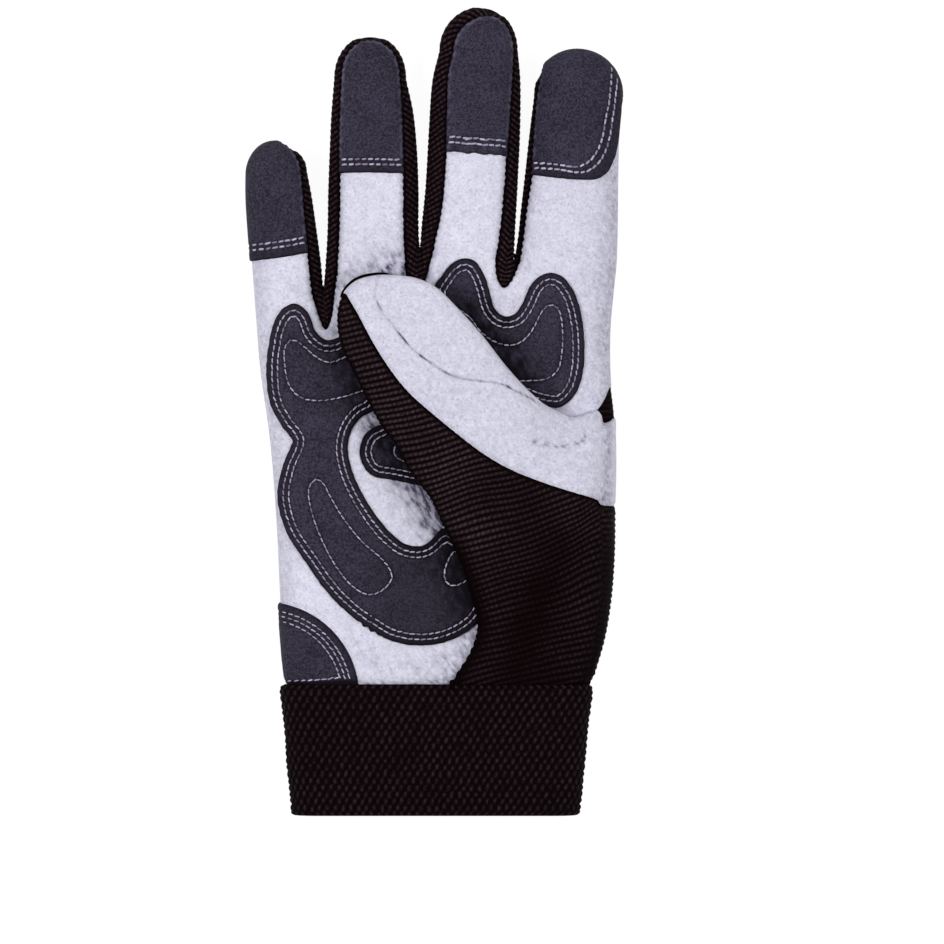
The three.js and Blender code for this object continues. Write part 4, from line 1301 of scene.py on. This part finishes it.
def thumb_ribs(xy):
    """The knit's ribs across the thumb, nearly level, rising to the right and
    bending gently: a phase in turns."""
    beyond = SIDE_FOLD.distance(xy) < 0
    across = xy[:, 1] - math.tan(THUMB_RIB_RISE) * xy[:, 0] + uneven(xy, "thumb ribs")
    across -= 0.005 * np.maximum(xy[:, 0] - 22, 0) ** 2 * step_up(xy[:, 1], -80, -34)
    across *= math.cos(THUMB_RIB_RISE)
    side = xy[:, 1] - 0.1 * xy[:, 0] + 0.9
    return np.where(beyond & (xy[:, 0] > 44), side, across) / RIB_PITCH


def thumb_dark(flat, inside):
    """How dark the thumb's suede is painted: painted shade in its creases and at the fold down the side, a
    little darker all over but less towards the tip, darker mottling towards the right, and a little more at
    the outline."""
    strong = step_up(-flat[:, 1], -38, -26)
    broken = 0.4 + 0.6 * patches(flat, (7.0,), 29, -0.3, 0.5)
    # Painted shade in the creases and at the side fold.
    dark = beside_line(CREASE.distance(flat), SHADE["crease"]) * (0.2 + 0.8 * strong) * broken
    dark += beside_line(LOW_CREASE.distance(flat), SHADE["low crease"]) * patches(flat, (2.5,), 23, -0.4, 0.5)
    mottle = patches(flat, (2.6, 1.9), 47, -0.9, 1.1)
    dark += (0.12 + 0.26 * mottle) * beside_line(SIDE_FOLD.distance(flat) + 1.0, SHADE["side fold"])
    dark += 0.1 * (1 - 0.3 * step_up(flat[:, 1], 12, 40))
    dark += 0.1 * mottle * step_up(flat[:, 0], 38, 54)
    return dark + 0.05 * (1 - step_up(inside, 0.3, 2.0))


def thumb_part(outline, upper, ribbed, steps):
    """One sheet of the thumb: its places, faces and four attributes."""
    grid = lattice(outline.min(0), outline.max(0), *steps, THUMB_RIB_RISE if ribbed else 0.0)
    if upper:
        edge = Line(outline, closed=True)
        for line in [SIDE_FOLD] if ribbed else [CREASE, SIDE_FOLD, LOW_CREASE]:
            grid = grid[np.abs(line.distance(grid)) > 0.8]
            beside = np.vstack([line.points + line.normals * side for side in (-0.6, -0.3, 0.0, 0.3, 0.6)])
            grid = np.vstack([grid, beside[edge.distance(beside) > 2.6]])
    flat, faces, edge = fill(outline, [0.15, 0.5, 1.0, 1.6, 2.3], grid)
    points, normal, inside, lift = thumb_surface(flat, upper)
    phase = thumb_ribs(flat)
    if ribbed:
        lift = lift + 0.38 * ribs(phase) ** 0.8 - 0.2
    if not upper:
        faces = faces[:, ::-1]
    # The ribs' painted highlight, fading to painted shade near the outline in the thumb's lower part.
    lit = step_up(edge.distance(flat), 0.5, 1.5) * spread(THUMB_RIB_LIGHT, flat)
    lit *= 1 - step_up(-flat[:, 1], 30, 45) * (1 - step_up(inside, 0.5, 6.0))
    dark = thumb_dark(flat, inside) if upper and not ribbed else np.zeros(len(flat))
    return points + normal * lift[:, None], faces, np.column_stack([phase, flat[:, 0], lit, dark])


def build_thumb():
    """The thumb's suede and its knit, each with its upper side and underside."""
    plan = THUMB_OUTLINE[:, :2]
    tip = nearest_index(plan, THUMB_SEAM[0])
    fold = nearest_index(plan, (55.5, -1.6))
    share = np.clip((np.arange(len(plan)) - fold) / 14.0, 0, 1)
    wrapped = plan - THUMB.normals * (SIDE_WRAP * share)[:, None]
    cross = nearest_index(wrapped, (58.3, -28.2))
    seam = SEAM_CURVE[:nearest_index(SEAM_CURVE, (57.6, -28.0))]
    suede_top = np.vstack([plan[tip:fold], wrapped[fold:cross], seam[::-1][:-1]])
    base = resample([(48.0, SHEET_END), (4.6, SHEET_END)], 0.8)
    knit_top = np.vstack([plan[:tip], seam[1:], wrapped[cross:], base])
    inner = nearest_index(plan, (39.6, -0.2))
    seam_in = seam[:nearest_index(seam, (39.0, -23.8))]
    suede_under = np.vstack([plan[tip:inner], [(39.4, -8.0), (39.3, -16.0)], seam_in[::-1][:-1]])
    low_left = nearest_index(plan, (13.3, -66.0))
    knit_under = np.vstack([plan[low_left:tip], seam_in[1:], [(39.0, -36.0), (34.0, -52.0), (26.0, -64.0)]])
    for name, node, slot, finish, ribbed, sides in (
        ("thumb_suede", "thumb_front", "suede", SUEDE, False,
         [(suede_top, True, (0.9, 0.9)), (suede_under, False, (1.4, 1.4))]),
        ("thumb_knit", "thumb_back", "knit", KNIT, True,
         [(knit_top, True, (0.8, 0.25)), (knit_under, False, (1.4, 0.45))]),
    ):
        top, under = (thumb_part(clockwise(outline), upper, ribbed, steps) for outline, upper, steps in sides)
        faces = np.vstack([top[1], under[1] + len(top[0])])
        attributes = dict(zip(("rib", "along", "lit", "dark"), np.vstack([top[2], under[2]]).T))
        obj = add_mesh(name, np.vstack([top[0], under[0]]), faces, attributes)
        declare(wall(obj, CLOTH), finish, node)
    rim_start, rim_end = nearest_index(plan, (-28.6, 35.2)), nearest_index(plan, (-13.5, 42.0))
    build_rim(THUMB_OUTLINE[rim_start:rim_end])


def build_rim(path):
    """The knit's turned edge that shows as a thin dark line round the thumb's tip: a
    round bar along the outline, thinner towards both ends."""
    sides, radius = 8, 0.62
    out = -normals_of(path[:, :2], False)
    count = len(path)
    thin = np.sin(np.linspace(0.12, np.pi * 0.94, count)) ** 0.5 * radius
    angle = np.arange(sides) * 2 * np.pi / sides
    ring = np.stack([out[:, None, 0] * np.cos(angle), out[:, None, 1] * np.cos(angle),
                     np.repeat(np.sin(angle)[None], count, 0)], -1)
    centre = np.column_stack([path[:, :2] + out * 0.25, path[:, 2] - 0.4])
    points = (centre[:, None] + ring * thin[:, None, None]).reshape(-1, 3)
    faces = grid_faces(count, sides, closed_columns=True, turn=1)
    obj = add_mesh("knit_tip_rim", points, faces, {"lit": np.zeros(len(points))})
    return declare(obj, KNIT)


# The cuff.

def flat_tube(run, reach, radius):
    """The section of a flat tube, walked from the right end of its level top: to the
    left, round the left bend, back along the bottom and round the right bend. From
    the run along it, half the level part and the bends' radius, it gives x and z
    from the middle and the outward normal's x and z."""
    bend = np.pi * radius
    marks = [2 * reach, 2 * reach + bend, 4 * reach + bend]
    part = sum((run >= mark).astype(int) for mark in marks)
    left_turn = np.pi / 2 + (run - marks[0]) / radius
    right_turn = 1.5 * np.pi + (run - marks[2]) / radius
    angle = np.choose(part, [np.pi / 2, left_turn, 1.5 * np.pi, right_turn])
    middle = np.choose(part, [reach - run, -reach, run - marks[1] - reach, reach])
    normal_x, normal_z = np.cos(angle), np.sin(angle)
    return middle + radius * normal_x, radius * normal_z, normal_x, normal_z


def build_cuff():
    """The elastic cuff: a flat tube whose outside is covered with staggered bumps,
    rolled in at the hem and smooth inside."""
    rows_out, around, hem_radius, top_radius, inner = 150, 560, 1.5, 1.1, 1.9
    y = np.concatenate([np.linspace(-88.0, -124.0, 6), [-125.35], np.linspace(-125.25, -84.9, rows_out),
                        [-84.6, -84.55, -84.9]])
    inset = np.concatenate([np.full(6, inner), [1.0], np.zeros(rows_out), [0.8, 1.3, inner]])
    into_hem, into_top = np.clip(-123.8 - y, 0, hem_radius), np.clip(y + 86.0, 0, 1.09)
    drawn_in = inset + (hem_radius - np.sqrt(np.maximum(hem_radius ** 2 - into_hem ** 2, 0)))
    drawn_in = drawn_in + (top_radius - np.sqrt(np.maximum(top_radius ** 2 - into_top ** 2, 0)))
    left, right = np.array(CUFF_LEFT), np.array(CUFF_RIGHT)
    x0 = np.interp(y, left[:, 1], left[:, 0]) + drawn_in
    x1 = np.interp(y, right[:, 1], right[:, 0]) - drawn_in
    half_x, half_z = ((x1 - x0) / 2)[:, None], (CUFF_THICK / 2 - inset)[:, None]
    corner = half_z * 0.98
    perimeter = 4 * (half_x - corner) + 2 * np.pi * corner
    place = np.arange(around) / around
    x, z, normal_x, normal_z = flat_tube(place * perimeter, half_x - corner, corner)
    px = (x1 + x0)[:, None] / 2 + x
    py = np.repeat(y[:, None], around, 1)
    pz = CUFF_THICK / 2 + z * (half_z / corner)
    flat = np.column_stack([px.ravel(), py.ravel()])

    across, up, soft = (uneven(flat, kind).reshape(px.shape)
                        for kind in ("bumps across", "bumps along", "cuff"))
    columns = round(perimeter.mean() / BUMP_WIDE)
    u = -place * columns + across
    v = (py + 125.0) / (2 * BUMP_HIGH) + up
    weave = 0.55 * np.cos(2 * np.pi * (u - v)) + 0.45 * np.cos(2 * np.pi * (u + v))
    outer = (inset == 0)[:, None]
    # crest: where each bump's painted highlight falls.
    crest = np.clip((weave + 0.2) / 1.2, 0, 1) ** 1.2 * outer
    hem = beside_line(py + 121.6, RELIEF["hem"]) + beside_line(py - HAND_END, RELIEF["cuff top"])
    lift = (0.42 * crest - 0.2 + hem + soft) * outer
    lowest, steep = 0.05, np.where(np.abs(normal_z) < 0.05, 1, normal_z)
    lift = np.where(pz + lift * normal_z < lowest, (lowest - pz) / steep, lift)
    grid = np.stack([px + normal_x * lift, py, pz + normal_z * lift], -1).reshape(-1, 3)
    faces = grid_faces(len(y), around, closed_rows=True, closed_columns=True)
    obj = add_mesh("cuff_elastic", grid, faces, {"crest": crest ** 1.2})
    return declare(obj, ELASTIC, "cuff")


# Stage, light and camera.

def stage():
    """A wide matt floor that glows a little, for the picture's even ground."""
    plane = bpy.data.meshes.new("floor")
    reach = 3.0
    corners = [(-reach, -reach, 0), (reach, -reach, 0), (reach, reach, 0), (-reach, reach, 0)]
    plane.from_pydata(corners, [], [(0, 1, 2, 3)])
    floor = bpy.data.objects.new("floor", plane)
    bpy.context.collection.objects.link(floor)
    finish, n, shader, _ = material("floor")
    for socket, value in {
        "Base Color": (0.13, 0.13, 0.13, 1.0), "Roughness": 0.9, "Specular IOR Level": 0.0,
        "Emission Color": (1.0, 1.0, 1.0, 1.0), "Emission Strength": 0.93,
    }.items():
        n.put(value, shader.inputs[socket])
    floor.data.materials.append(finish)


def area_light(name, place, size, power):
    """A square soft light that shines at the middle of the glove."""
    lamp = bpy.data.lights.new(name, "AREA")
    lamp.shape = "SQUARE"
    lamp.size = size
    lamp.energy = power
    obj = bpy.data.objects.new(name, lamp)
    obj.location = place
    obj.rotation_euler = (-Vector(place)).to_track_quat("-Z", "Y").to_euler()
    bpy.context.collection.objects.link(obj)


def lights():
    """An even white sky, with soft lights on the left, on the right and beyond the
    fingertips, the left one the strongest."""
    world = bpy.data.worlds.new("studio")
    world.use_nodes = True
    background = world.node_tree.nodes["Background"]
    background.inputs["Color"].default_value = (1.0, 1.0, 1.0, 1.0)
    background.inputs["Strength"].default_value = 0.40
    bpy.context.scene.world = world
    area_light("left", (-0.84, 0.02, 1.15), 0.45, 8.6)
    area_light("right", (0.84, -0.1, 1.15), 0.45, 6.4)
    area_light("top", (0, 1.05, 1.1), 1.0, 4.9)


def camera():
    """Straight above, through a long lens, framing what the photo frames."""
    shot = bpy.data.cameras.new("camera")
    shot.lens = 500.0
    shot.sensor_width = 36.0
    wide, centre_x, centre_y, level = 0.2927, 0.0117, -0.0188, 0.010
    obj = bpy.data.objects.new("camera", shot)
    obj.location = (centre_x, centre_y, level + wide * shot.lens / shot.sensor_width)
    obj.rotation_euler = (0, 0, 0)
    bpy.context.collection.objects.link(obj)
    bpy.context.scene.camera = obj


camera()
stage()
lights()
build_palm_panel()
for strip in range(len(PARTINGS)):
    build_strip(strip)
build_back()
build_fold_knit()
build_pad("pad_palm_leather", "pad_palm", PALM_PAD,
          [(QUILT_UPPER, False), (QUILT_LOWER, True), (QUILT_END, False)], 0.55, 100)
build_pad("pad_finger_leather", "pad_finger", FINGER_PAD, [(QUILT_FINGER, False)], 0.5, 200)
build_pad("pad_thumb_leather", "pad_thumb", TONGUE_PAD, [(QUILT_TONGUE, False)], 0.4, 300)
build_heel_patch()
for k, cap in enumerate(FINGERS):
    build_cap(cap, 400 + 10 * k)
build_thumb()
build_cuff()

scene = bpy.context.scene
scene.view_settings.view_transform = "Standard"
scene.view_settings.look = "None"
